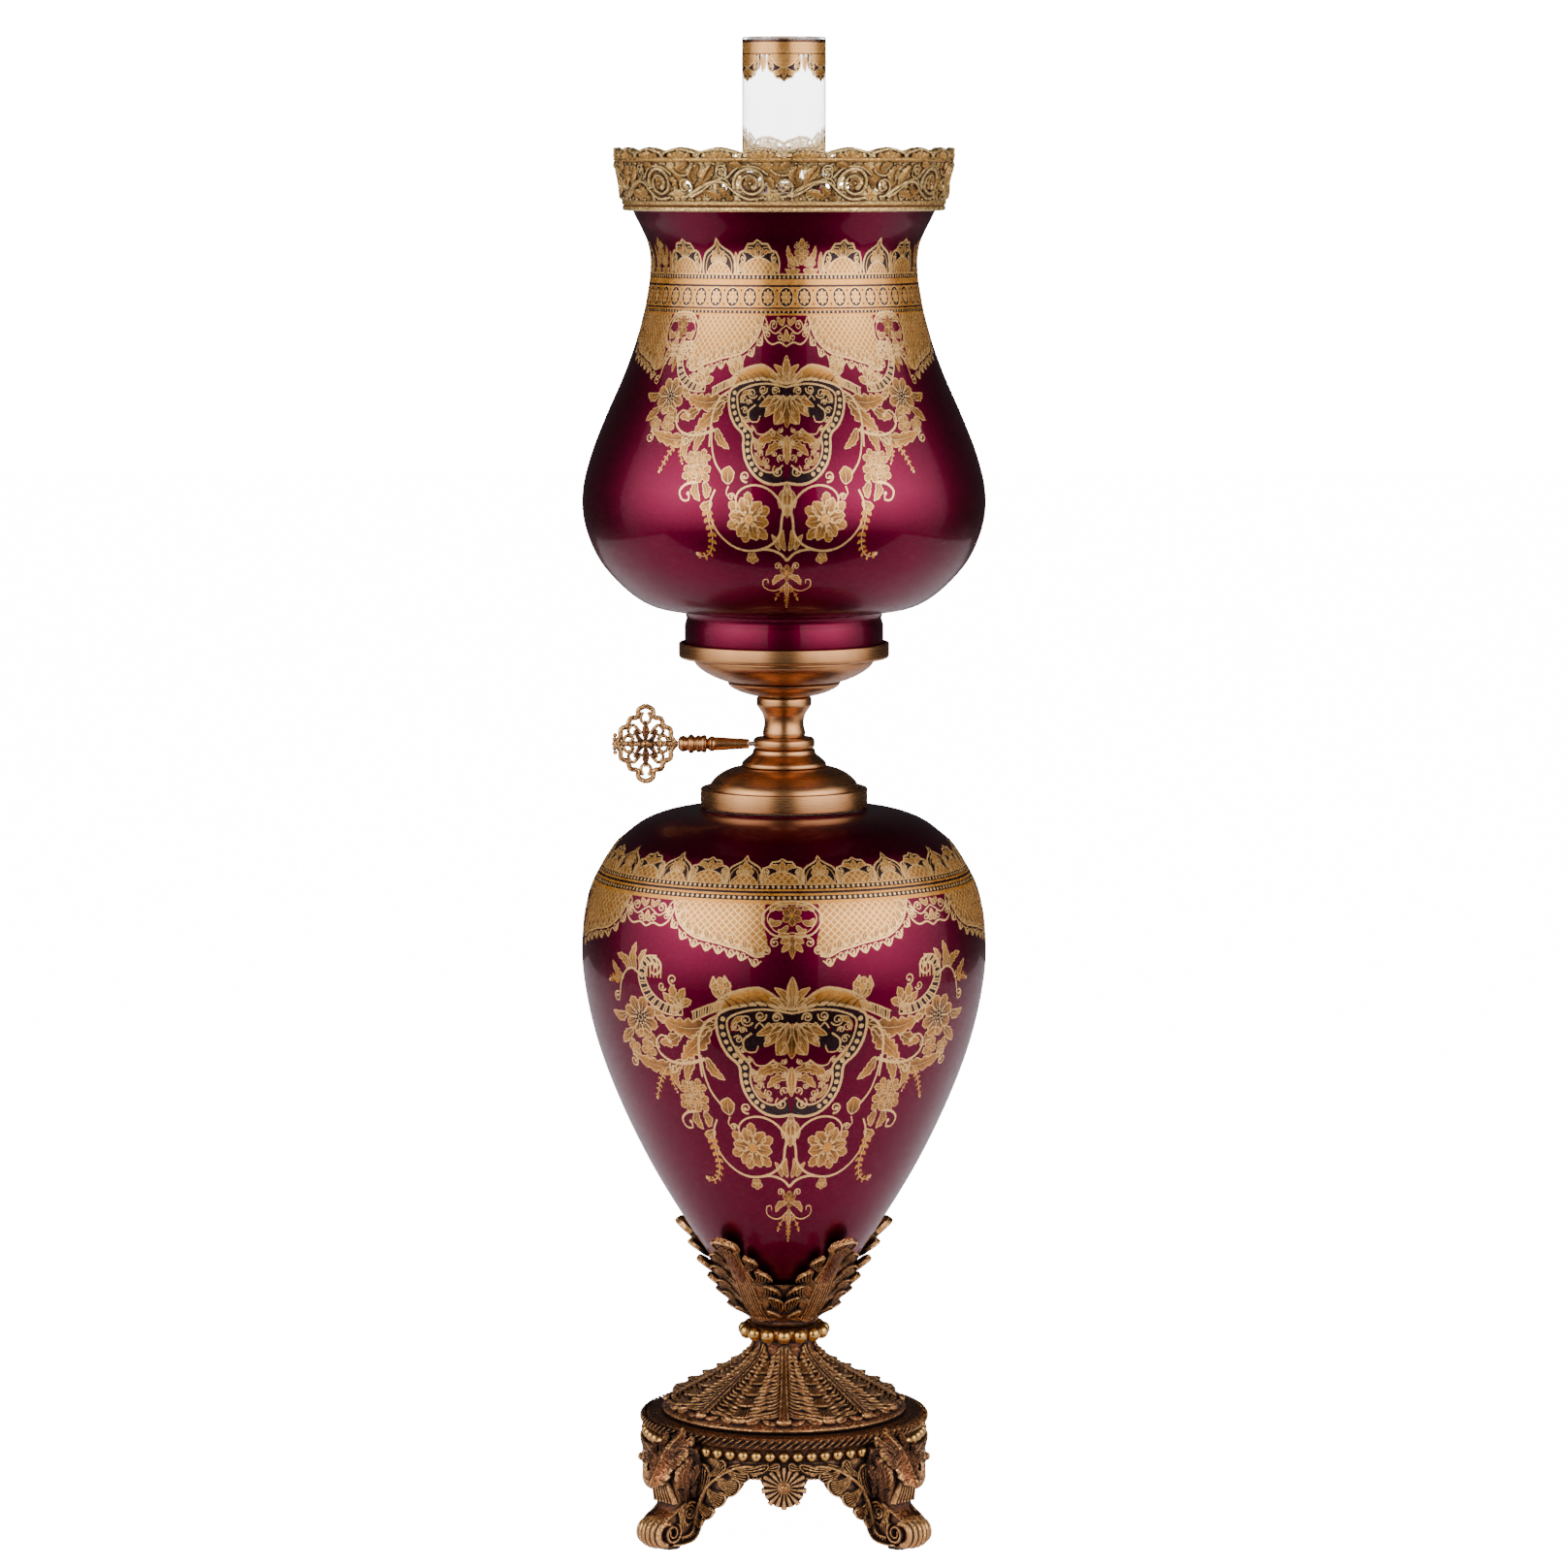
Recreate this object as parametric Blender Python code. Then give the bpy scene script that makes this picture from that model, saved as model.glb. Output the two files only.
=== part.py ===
# Table oil lamp: ruby glass vase and shade, cast footed base, drop-in oil font, flat-wick burner.
# Outlines are (radius, height) points in millimetres, turned about Z; MM makes them metres.
# +Z is up, the front is -Y, and the wick raiser's key points along -X.
import math

import bmesh
import bpy
from mathutils import Matrix, Vector

MM = 0.001
GAP = 0.3              # clearance left between pieces that rest on each other
SIDES = 20             # facets round most turned pieces
WIDE_SIDES = 24        # facets round the widest pieces, with one at every leg
QUARTERS = 4           # legs, pendants and big leaves repeat four times round

# Heights above the floor, from the bottom up
PAD_TOP = 1.5
PLATE_TOP = 58.5       # footed base's top plate
DOME_TOP = 97.0        # pedestal dome's neck
COLLAR_TOP = 104.5     # beaded collar
VASE_BOTTOM = 117.0
VASE_TOP = 370.9       # glass lip of the vase
FONT_TOP = 374.2
CAP_FLOOR_TOP = 378.0
CAP_DOME_TOP = 392.0
KEY_HEIGHT = 403.8     # axis of the wick spindle
HOLDER_FLOOR = 449.2   # inside floor of the shade holder
GALLERY_FLOOR = 465.6
SHADE_TOP = 681.0
CROWN_BOTTOM = 673.6
CROWN_TOP = 705.2
CHIMNEY_TOP = 760.4

# Radii and widths
ROD_RADIUS = 4.8
ROD_HOLE = 5.3
PIPE_RADIUS = 8.5
PIPE_BORE = 7.5
PIPE_HOLE = 8.8        # hole of every piece threaded on the burner pipe
CHIMNEY_RADIUS = 21.1
CHIMNEY_WALL = 2.0
VASE_WALL = 4.0
SHADE_WALL = 3.2
LEG_ANGLE = math.pi / 4
PAD_PLACE = 82.0       # distance of a foot pad's centre from the lamp's axis
WICK_SIZE = (11.0, 1.8)
WICK_BOTTOM = 296.0
WICK_TOP = 486.0
SPINDLE_Y = -3.8       # the spindle lies in front of the wick
SPINDLE_RADIUS = 1.2
SPINDLE_HOLE = 1.5
WHEEL_RADIUS = 2.6
CREST_COUNT = 24       # scallops of the crown's cresting

RUBY_GLASS = ((0.30, 0.010, 0.022), 0.08, 0.35, 0.0)
CLEAR_GLASS = ((0.92, 0.95, 0.95), 0.03, 0.0, 1.0)
ANTIQUE_BRONZE = ((0.36, 0.22, 0.11), 0.42, 0.9, 0.0)
COPPER_BRONZE = ((0.50, 0.29, 0.14), 0.33, 1.0, 0.0)
GILT_BRASS = ((0.66, 0.44, 0.19), 0.34, 1.0, 0.0)
PLAIN_BRASS = ((0.70, 0.52, 0.25), 0.38, 1.0, 0.0)
STEEL = ((0.52, 0.52, 0.50), 0.42, 1.0, 0.0)
FELT = ((0.06, 0.055, 0.05), 0.95, 0.0, 0.0)
CORK = ((0.42, 0.28, 0.16), 0.9, 0.0, 0.0)
COTTON = ((0.80, 0.76, 0.66), 0.95, 0.0, 0.0)


def clear_scene():
    for item in list(bpy.data.objects):
        bpy.data.objects.remove(item, do_unlink=True)


def finish_for(name, finish):
    colour, roughness, metallic, transmission = finish
    material = bpy.data.materials.new(name)
    material.use_nodes = True
    shader = material.node_tree.nodes["Principled BSDF"]
    shader.inputs["Base Color"].default_value = (*colour, 1.0)
    shader.inputs["Roughness"].default_value = roughness
    shader.inputs["Metallic"].default_value = metallic
    shader.inputs["Transmission Weight"].default_value = transmission
    return material


def add_object(name, bm, finish, origin=(0.0, 0.0, 0.0)):
    """Make an object of a bmesh in millimetres; origin, in millimetres, becomes its own origin."""
    bmesh.ops.recalc_face_normals(bm, faces=bm.faces)
    bmesh.ops.translate(bm, verts=bm.verts, vec=-Vector(origin))
    bmesh.ops.scale(bm, verts=bm.verts, vec=(MM, MM, MM))
    mesh = bpy.data.meshes.new(name)
    bm.to_mesh(mesh)
    bm.free()
    mesh.shade_smooth()
    mesh.set_sharp_from_angle(angle=math.radians(35))
    item = bpy.data.objects.new(name, mesh)
    item.location = Vector(origin) * MM
    bpy.context.scene.collection.objects.link(item)
    if finish:
        mesh.materials.append(finish_for(name, finish))
    else:
        item.hide_render = True
        item.display_type = "WIRE"
    return item


def between(points, height):
    """Radius of an outline that only rises, at one height."""
    for (r0, z0), (r1, z1) in zip(points, points[1:]):
        if z0 <= height <= z1:
            return r0 + (r1 - r0) * (height - z0) / (z1 - z0)
    return points[-1][0]


def inset(points, wall):
    """The same outline moved towards the axis side by a wall's thickness."""
    moved = []
    for index, (radius, height) in enumerate(points):
        before = points[max(index - 1, 0)]
        after = points[min(index + 1, len(points) - 1)]
        run = Vector((after[0] - before[0], after[1] - before[1])).normalized()
        moved.append((radius - run.y * wall, height + run.x * wall))
    return moved


def turned_mesh(section, sides):
    """Turn a closed section about Z; section(angle) gives its (radius, height) points."""
    bm = bmesh.new()
    columns = []
    poles = {}
    for step in range(sides):
        angle = 2 * math.pi * step / sides
        column = []
        for index, (radius, height) in enumerate(section(angle)):
            if radius == 0 and index in poles:
                column.append(poles[index])
                continue
            vert = bm.verts.new((radius * math.cos(angle), radius * math.sin(angle), height))
            if radius == 0:
                poles[index] = vert
            column.append(vert)
        columns.append(column)
    count = len(columns[0])
    for step in range(sides):
        here, there = columns[step], columns[(step + 1) % sides]
        for index in range(count):
            after = (index + 1) % count
            corners = [here[index], there[index], there[after], here[after]]
            corners = list(dict.fromkeys(corners))
            if len(corners) > 2:
                bm.faces.new(corners)
    return bm


def turned(name, outline, finish, sides=SIDES):
    return add_object(name, turned_mesh(lambda angle: outline, sides), finish)


def turned_along_x(name, outline, finish, sides=16):
    """Turn (distance along X, radius) points about the spindle's axis; the origin is on it."""
    bm = turned_mesh(lambda angle: [(radius, along) for along, radius in outline], sides)
    bmesh.ops.rotate(bm, verts=bm.verts, cent=(0, 0, 0), matrix=Matrix.Rotation(math.pi / 2, 3, "Y"))
    origin = (0.0, SPINDLE_Y, KEY_HEIGHT)
    bmesh.ops.translate(bm, verts=bm.verts, vec=origin)
    return add_object(name, bm, finish, origin)


def ring(name, inner, outer, low, high, finish, sides=SIDES):
    return turned(name, [(inner, low), (outer, low), (outer, high), (inner, high)], finish, sides)


def hex_nut(name, hole, across, low, high, finish):
    """A hexagon nut with a round hole: flat-sided outside, the hole cut by a cylinder."""
    bm = turned_mesh(lambda angle: [(0, low), (across / 2 / math.cos(math.pi / 6), low),
                                    (across / 2 / math.cos(math.pi / 6), high), (0, high)], 6)
    nut = add_object(name, bm, finish)
    cut(nut, cylinder(name + "_hole_cutter", hole, (0, 0, low - 1), (0, 0, high + 1)))
    return nut


def block(name, low, high, finish=None):
    bm = bmesh.new()
    bmesh.ops.create_cube(bm, size=1.0)
    size = Vector(high) - Vector(low)
    bmesh.ops.scale(bm, verts=bm.verts, vec=size)
    bmesh.ops.translate(bm, verts=bm.verts, vec=(Vector(high) + Vector(low)) / 2)
    return add_object(name, bm, finish)


def cylinder(name, radius, start, end, finish=None, sides=12):
    start, end = Vector(start), Vector(end)
    bm = bmesh.new()
    bmesh.ops.create_cone(bm, cap_ends=True, segments=sides, radius1=radius, radius2=radius,
                          depth=(end - start).length)
    turn = Vector((0, 0, 1)).rotation_difference(end - start).to_matrix()
    bmesh.ops.rotate(bm, verts=bm.verts, cent=(0, 0, 0), matrix=turn)
    bmesh.ops.translate(bm, verts=bm.verts, vec=(start + end) / 2)
    return add_object(name, bm, finish)


def cut(item, cutter, operation="DIFFERENCE"):
    modifier = item.modifiers.new(cutter.name, "BOOLEAN")
    modifier.operation = operation
    modifier.solver = "EXACT"
    modifier.object = cutter


# ---- cast base and pedestal ----

def apron_bottom(angle):
    """Lower edge of the apron: deep at the four pendants and at the legs, arched between."""
    quarter = (angle + LEG_ANGLE) % (2 * LEG_ANGLE) - LEG_ANGLE
    from_pendant = abs(math.degrees(quarter))
    if from_pendant < 9:
        return 34.0 - 11.0 * math.sqrt(max(0.0, 1 - (from_pendant / 9) ** 2))
    return 38.0 - 6.0 * ((from_pendant - 9) / 36) ** 2


def leg_half_width(height):
    if height > 24:
        return 8.0 + 5.0 * min(1.0, (height - 24) / 14)
    return 8.0 + 2.0 * min(1.0, (24 - height) / 12)


def leg_mesh(angle):
    """A cabriole scroll leg: its side outline, as wide as leg_half_width says, turned to angle."""
    front = [(67, 53.5), (78, 50.5), (85, 45), (87.5, 39), (86, 30), (84, 23.5), (86, 18),
             (90.5, 14), (92, 8.5), (90, 3.4), (87.5, PAD_TOP + GAP)]
    back = [(76, PAD_TOP + GAP), (75, 6), (77, 13), (78.5, 21), (78, 29), (75, 35), (68.5, 40)]
    bm = bmesh.new()
    sides = []
    for side in (-1, 1):
        sides.append([bm.verts.new((r, side, z)) for r, z in front + back])
    bm.faces.new(sides[0])
    bm.faces.new(list(reversed(sides[1])))
    count = len(sides[0])
    for index in range(count):
        after = (index + 1) % count
        bm.faces.new((sides[0][index], sides[1][index], sides[1][after], sides[0][after]))
    bmesh.ops.triangulate(bm, faces=bm.faces)
    for vert in bm.verts:
        vert.co.y *= leg_half_width(vert.co.z)
    bmesh.ops.rotate(bm, verts=bm.verts, cent=(0, 0, 0), matrix=Matrix.Rotation(angle, 3, "Z"))
    return bm


def make_footed_base():
    def section(angle):
        low = apron_bottom(angle)
        return [(ROD_HOLE, 55), (64, 55), (67.5, 50), (67, low), (71, low), (71.5, 46), (71.5, 52),
                (73.5, 53), (73.5, 56.5), (70, PLATE_TOP), (ROD_HOLE, PLATE_TOP)]
    base = add_object("footed_base", turned_mesh(section, 2 * WIDE_SIDES), ANTIQUE_BRONZE)
    for number in range(QUARTERS):
        angle = LEG_ANGLE + number * math.pi / 2
        leg = add_object("leg_shape_%d" % (number + 1), leg_mesh(angle), None)
        cut(base, leg, "UNION")
        place = (PAD_PLACE * math.cos(angle), PAD_PLACE * math.sin(angle))
        cylinder("foot_pad_%d" % (number + 1), 5.5, (*place, 0), (*place, PAD_TOP), FELT, 16)


def make_pedestal():
    low = PLATE_TOP + GAP
    turned("pedestal_dome", [
        (62.5, low), (62.5, 61), (58, 64.5), (50, 69), (35, 77), (24, 83.7), (17, 90),
        (14.8, 94), (14.8, DOME_TOP), (ROD_HOLE, DOME_TOP), (ROD_HOLE, 94), (11, 93),
        (15, 88), (21.5, 81.5), (33, 74), (48, 66), (58.5, low)], ANTIQUE_BRONZE, WIDE_SIDES)
    low = DOME_TOP + GAP
    turned("beaded_collar", [
        (ROD_HOLE, low), (16, low), (20.4, 98.4), (22.2, 100.9), (20.4, 103.4),
        (16, COLLAR_TOP), (ROD_HOLE, COLLAR_TOP)], GILT_BRASS)


def make_fixings():
    cylinder("tie_rod", ROD_RADIUS, (0, 0, 42), (0, 0, 134), STEEL)
    hex_nut("base_lock_nut", ROD_HOLE, 17, 44.5, 52.2, STEEL)
    ring("base_washer", ROD_HOLE, 14, 52.5, 54.7, STEEL, 16)
    ring("cup_washer", ROD_HOLE, 15, 114.9, VASE_BOTTOM - GAP, FELT, 16)
    ring("vase_inner_washer", ROD_HOLE, 13, 121.3, 123.3, FELT, 16)
    hex_nut("vase_inner_nut", ROD_HOLE, 17, 123.6, 130.5, STEEL)


# ---- ruby glass ----

VASE_OUTLINE = [(18, VASE_BOTTOM), (35.1, 136), (52, 161), (69.1, 190), (84.4, 222), (95.4, 252),
                (101.8, 281), (103, 305), (98.7, 330), (87.8, 350.1), (80, 358), (72, 363.8),
                (62, 367.8), (52, 369.6), (43.6, 370)]
SHADE_OUTLINE = [(50.5, HOLDER_FLOOR + GAP), (50.5, 464), (49.6, 467.6), (51.5, 471.4), (66.5, 474),
                 (79.6, 482), (93.2, 497), (100.8, 515), (102, 532), (97.9, 550), (90.2, 570),
                 (80.5, 592), (72.6, 615), (67.9, 638), (68, 655), (75.1, 671), (79, 679)]


def make_vase():
    inner = [(r, z) for r, z in inset(VASE_OUTLINE, VASE_WALL)[1:11]]
    mouth = [(70, 360), (60, 363.8), (37, 366)]
    outline = [(ROD_HOLE, VASE_BOTTOM)] + VASE_OUTLINE + [(43.2, VASE_TOP), (37, VASE_TOP)]
    outline += list(reversed(mouth)) + list(reversed(inner)) + [(16, 121), (ROD_HOLE, 121)]
    turned("vase", outline, RUBY_GLASS, WIDE_SIDES)


def make_leaf_cup():
    """The acanthus cup hugs the vase; its rim rises to four leaf tips between the axes."""
    bed = [(r + 0.6, z - 0.3) for r, z in VASE_OUTLINE]
    middle = bed[1][1]

    def section(angle):
        rim = 139 + 18 * abs(math.sin(2 * angle)) ** 1.5
        inner_rim, inner_middle = between(bed, rim), between(bed, middle)
        return [(ROD_HOLE, COLLAR_TOP + GAP), (16, COLLAR_TOP + GAP), (18.2, 107.5), (22.4, 112.5),
                (inner_middle + 3.5, middle), (inner_rim + 3.2, rim - 2), (inner_rim + 1, rim),
                (inner_rim, rim), (inner_middle, middle), (18.6, VASE_BOTTOM - GAP),
                (17, 114.6), (ROD_HOLE, 114.6)]
    add_object("leaf_cup", turned_mesh(section, WIDE_SIDES), ANTIQUE_BRONZE)


def make_shade():
    inner = inset(SHADE_OUTLINE, SHADE_WALL)[4:-1]
    outline = SHADE_OUTLINE + [(79, SHADE_TOP), (76, SHADE_TOP)] + list(reversed(inner))
    outline += [(50.6, 475), (46.4, 467.6), (47.3, 464), (47.3, HOLDER_FLOOR + GAP)]
    turned("shade", outline, RUBY_GLASS, WIDE_SIDES)


def make_crown():
    """Cast ring that rests on the shade's lip, with a scalloped top edge."""
    def section(angle):
        wave = abs(math.cos(CREST_COUNT / 2 * angle))
        top = CROWN_TOP - 6.5 * (1 - wave)
        lip = 85.9 - 1.3 * (1 - wave)
        return [(79.8, CROWN_BOTTOM), (80.9, CROWN_BOTTOM), (81.3, 678), (80.6, 682), (82.6, 690),
                (84.2, 694.5), (lip, top), (lip - 1.6, top), (82, 693), (79, 684), (73, 683),
                (73, SHADE_TOP + GAP), (79.8, SHADE_TOP + GAP)]
    add_object("crown", turned_mesh(section, 2 * CREST_COUNT), GILT_BRASS)


def make_chimney():
    inner = CHIMNEY_RADIUS - CHIMNEY_WALL
    low = GALLERY_FLOOR + GAP
    turned("chimney", [(inner, low), (CHIMNEY_RADIUS, low), (CHIMNEY_RADIUS, CHIMNEY_TOP - 0.6),
                       (CHIMNEY_RADIUS - 0.6, CHIMNEY_TOP), (inner + 0.6, CHIMNEY_TOP),
                       (inner, CHIMNEY_TOP - 0.6)], CLEAR_GLASS)


# ---- oil font and cap ----

def make_font():
    ring("mouth_gasket", 37, 40.2, VASE_TOP + GAP, 372.6, CORK)
    turned("oil_font", [
        (0, 285), (28, 285), (34, 291), (34, 372.9), (40, 372.9), (40, FONT_TOP), (21, FONT_TOP),
        (21, 372.9), (32.6, 372.9), (32.6, 291.6), (27.4, 286.4), (0, 286.4)], PLAIN_BRASS)


def make_cap():
    floor = FONT_TOP + 2 * GAP
    turned("cap_base_ring", [
        (PIPE_HOLE, floor), (40.7, floor), (40.7, 371.9), (42.5, 371.9), (42.5, 381.1),
        (38.8, 381.1), (38.8, CAP_FLOOR_TOP), (PIPE_HOLE, CAP_FLOOR_TOP)], COPPER_BRONZE, WIDE_SIDES)
    low = CAP_FLOOR_TOP + GAP
    turned("cap_dome", [
        (38.2, low), (38.2, 381), (36.6, 384.6), (32.5, 388.3), (27, 390.9), (21.5, CAP_DOME_TOP),
        (PIPE_HOLE, CAP_DOME_TOP), (PIPE_HOLE, 390.6), (21.2, 390.6), (26.4, 389.5),
        (31.6, 387.1), (35.4, 383.8), (36.9, 380.7), (36.9, low)], COPPER_BRONZE, WIDE_SIDES)
    turned("cap_step", [
        (PIPE_HOLE, CAP_DOME_TOP + GAP), (21.6, CAP_DOME_TOP + GAP), (21.2, 394.4), (17.4, 397.4),
        (15.7, 399.4), (15.7, 400.8), (PIPE_HOLE, 400.8)], COPPER_BRONZE)


def make_pipe():
    hex_nut("lower_pipe_nut", PIPE_HOLE, 22, 368.6, 374.4, PLAIN_BRASS)
    pipe = ring("burner_pipe", PIPE_BORE, PIPE_RADIUS, 366, 464, PLAIN_BRASS)
    through = cylinder("pipe_cross_cutter", SPINDLE_HOLE, (-12, SPINDLE_Y, KEY_HEIGHT),
                       (12, SPINDLE_Y, KEY_HEIGHT))
    cut(pipe, through)
    hex_nut("upper_pipe_nut", PIPE_HOLE, 22, 449.5, 454.2, PLAIN_BRASS)
    collar = turned("spindle_collar", [
        (PIPE_HOLE, 401.1), (14.6, 401.1), (15.7, 402.3), (15.7, 405.5), (14.6, 406.7),
        (PIPE_HOLE, 406.7)], COPPER_BRONZE)
    cut(collar, cylinder("collar_cross_cutter", SPINDLE_HOLE, (-18, SPINDLE_Y, KEY_HEIGHT),
                         (0, SPINDLE_Y, KEY_HEIGHT)))


# ---- neck, dishes and shade holder ----

def make_neck():
    turned("neck_spool", [
        (PIPE_HOLE, 407), (10.6, 407), (11, 409.6), (10.4, 411.4), (9.9, 414.6), (10.7, 418.6),
        (13, 422), (14, 423.6), (14, 426.8), (13.4, 427.6), (PIPE_HOLE, 427.6)], COPPER_BRONZE)
    turned("lower_dish", [
        (PIPE_HOLE, 427.9), (14.8, 428.2), (22, 430), (27.6, 432.8), (28.8, 435),
        (PIPE_HOLE, 435)], COPPER_BRONZE)
    turned("upper_dish", [
        (PIPE_HOLE, 435.3), (29.6, 435.5), (38, 438.8), (44, 442.9), (45.9, 445.6), (46, 447.2),
        (44.5, 447.2), (42.6, 444), (37.2, 440.3), (29.4, 437), (PIPE_HOLE, 436.8)],
        COPPER_BRONZE, WIDE_SIDES)
    turned("shade_holder", [
        (PIPE_HOLE, 447.5), (52.6, 447.5), (53.5, 448.6), (53.5, 455.4), (51.6, 455.4),
        (51.6, HOLDER_FLOOR), (PIPE_HOLE, HOLDER_FLOOR)], COPPER_BRONZE, WIDE_SIDES)


# ---- burner ----

def make_burner():
    turned("burner_base", [
        (PIPE_HOLE, 454.5), (16, 454.5), (18, 456), (16, 458), (PIPE_HOLE, 458)], PLAIN_BRASS)
    basket = turned("air_basket", [
        (PIPE_HOLE, 458.3), (17, 458.3), (22, 463.7), (20.6, 463.7), (16.2, 459.8),
        (PIPE_HOLE, 459.8)], PLAIN_BRASS)
    for number in range(8):
        angle = 2 * math.pi * (number + 0.5) / 8
        out = Vector((math.cos(angle), math.sin(angle), 0))
        cut(basket, cylinder("air_hole_cutter_%d" % (number + 1), 1.6,
                             out * 12.6 + Vector((0, 0, 457)), out * 12.6 + Vector((0, 0, 461)), None, 8))

    def gallery_section(angle):
        prong = math.cos(QUARTERS * angle) > 0.2
        top = 478 if prong else 470
        return [(PIPE_HOLE, 464), (24, 464), (24, top), (22.4, top), (22.4, GALLERY_FLOOR),
                (PIPE_HOLE, GALLERY_FLOOR)]
    add_object("chimney_gallery", turned_mesh(gallery_section, SIDES), PLAIN_BRASS)
    deflector = turned("flame_deflector", [
        (16.8, GALLERY_FLOOR + GAP), (16.8, 470), (15, 478), (11, 484.6), (0, 488.4), (0, 487),
        (10.4, 483.4), (13.9, 477.4), (15.6, 469.8), (15.6, GALLERY_FLOOR + GAP)], PLAIN_BRASS)
    cut(deflector, block("flame_slot_cutter", (-7.2, -2.8, 476), (7.2, 2.8, 492)))


def make_wick_parts():
    half_w, half_t = WICK_SIZE[0] / 2, WICK_SIZE[1] / 2
    block("wick", (-half_w, -half_t, WICK_BOTTOM), (half_w, half_t, WICK_TOP), COTTON)
    tube = block("wick_tube", (-half_w - 1, -half_t - 0.9, 392), (half_w + 1, half_t + 0.9, 482),
                 PLAIN_BRASS)
    cut(tube, block("wick_way_cutter", (-half_w - 0.4, -half_t - GAP, 390),
                    (half_w + 0.4, half_t + GAP, 484)))
    cut(tube, block("wheel_window_cutter", (-4, -4, KEY_HEIGHT - 3.2), (4, -half_t - 0.1, KEY_HEIGHT + 3.2)))


def make_feed_wheels():
    for number, place in enumerate((-2.0, 2.0)):
        bm = bmesh.new()
        rims = []
        for x in (place - 0.6, place + 0.6):
            outer, inner = [], []
            for step in range(16):
                angle = 2 * math.pi * step / 16
                reach = WHEEL_RADIUS if step % 2 == 0 else WHEEL_RADIUS - 0.6
                outer.append(bm.verts.new((x, SPINDLE_Y + reach * math.cos(angle),
                                           KEY_HEIGHT + reach * math.sin(angle))))
                inner.append(bm.verts.new((x, SPINDLE_Y + SPINDLE_HOLE * math.cos(angle),
                                           KEY_HEIGHT + SPINDLE_HOLE * math.sin(angle))))
            rims.append((outer, inner))
        (outer_a, inner_a), (outer_b, inner_b) = rims
        for a, b in ((outer_a, outer_b), (inner_b, inner_a), (inner_a, outer_a), (outer_b, inner_b)):
            for step in range(16):
                after = (step + 1) % 16
                bm.faces.new((a[step], a[after], b[after], b[step]))
        add_object("feed_wheel_%d" % (number + 1), bm, PLAIN_BRASS, (0.0, SPINDLE_Y, KEY_HEIGHT))


def bow_outline():
    """The key's bow seen from the front: a square on its corner with hollowed sides."""
    points = []
    for quarter in range(4):
        for step in range(4):
            angle = math.pi / 2 * (quarter + step / 4)
            hollow = 0.72 + 0.28 * abs(math.cos(2 * angle)) ** 1.2
            points.append((16.2 * hollow * math.cos(angle), 20.3 * hollow * math.sin(angle)))
    return points


def make_key():
    turned_along_x("wick_spindle", [(-26, 0), (-26, SPINDLE_RADIUS), (6.8, SPINDLE_RADIUS), (6.8, 0)], STEEL, 12)
    turned_along_x("key_shank", [
        (-38.4, 0), (-38.4, 3.5), (-30, 3.2), (-21, 2.3), (-17.5, 2.3), (-17.5, SPINDLE_HOLE),
        (-26.3, SPINDLE_HOLE), (-26.3, 0)], COPPER_BRONZE)
    turned_along_x("key_ferrule", [
        (-53.8, 0), (-53.8, 3.0), (-51, 3.4), (-49.4, 3.0), (-49, 4.3), (-46, 4.6), (-43, 3.6),
        (-41, 4.6), (-38.7, 4.2), (-38.7, 0)], COPPER_BRONZE)
    bm = bmesh.new()
    centre = (-70.3, SPINDLE_Y, KEY_HEIGHT)
    rims = []
    for y in (-2.0, 2.0):
        rims.append([bm.verts.new((centre[0] + x, centre[1] + y, centre[2] + z)) for x, z in bow_outline()])
    bm.faces.new(rims[0])
    bm.faces.new(list(reversed(rims[1])))
    for step in range(len(rims[0])):
        after = (step + 1) % len(rims[0])
        bm.faces.new((rims[0][step], rims[1][step], rims[1][after], rims[0][after]))
    bow = add_object("key_bow", bm, ANTIQUE_BRONZE, (0.0, SPINDLE_Y, KEY_HEIGHT))
    for number, (x, z) in enumerate(((-6.2, 5.5), (6.2, 5.5), (-6.2, -5.5), (6.2, -5.5))):
        cut(bow, cylinder("bow_hole_cutter_%d" % (number + 1), 3.4,
                          (centre[0] + x, SPINDLE_Y - 4, centre[2] + z),
                          (centre[0] + x, SPINDLE_Y + 4, centre[2] + z)))


clear_scene()
make_footed_base()
make_pedestal()
make_fixings()
make_vase()
make_leaf_cup()
make_font()
make_cap()
make_pipe()
make_neck()
make_burner()
make_wick_parts()
make_feed_wheels()
make_key()
make_chimney()
make_shade()
make_crown()
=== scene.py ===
import math
import random

import bmesh
import bpy
import numpy as np
from mathutils import Matrix, Vector


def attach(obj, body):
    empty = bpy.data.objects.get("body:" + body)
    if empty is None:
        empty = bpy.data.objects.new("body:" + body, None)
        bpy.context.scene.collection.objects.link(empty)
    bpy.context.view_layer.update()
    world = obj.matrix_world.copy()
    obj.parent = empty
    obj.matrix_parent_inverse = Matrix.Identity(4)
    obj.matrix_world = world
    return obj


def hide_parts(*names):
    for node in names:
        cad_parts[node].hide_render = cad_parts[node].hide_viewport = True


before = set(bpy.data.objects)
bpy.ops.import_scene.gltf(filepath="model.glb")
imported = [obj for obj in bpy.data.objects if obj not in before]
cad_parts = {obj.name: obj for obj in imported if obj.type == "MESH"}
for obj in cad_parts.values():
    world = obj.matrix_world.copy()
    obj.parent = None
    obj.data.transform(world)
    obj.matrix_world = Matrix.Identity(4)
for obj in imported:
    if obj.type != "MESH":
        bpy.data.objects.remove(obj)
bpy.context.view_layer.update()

mm = 0.001
wholeTurn = 2 * math.pi
sceneData = bpy.context.scene

# camera, floor and studio light

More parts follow.
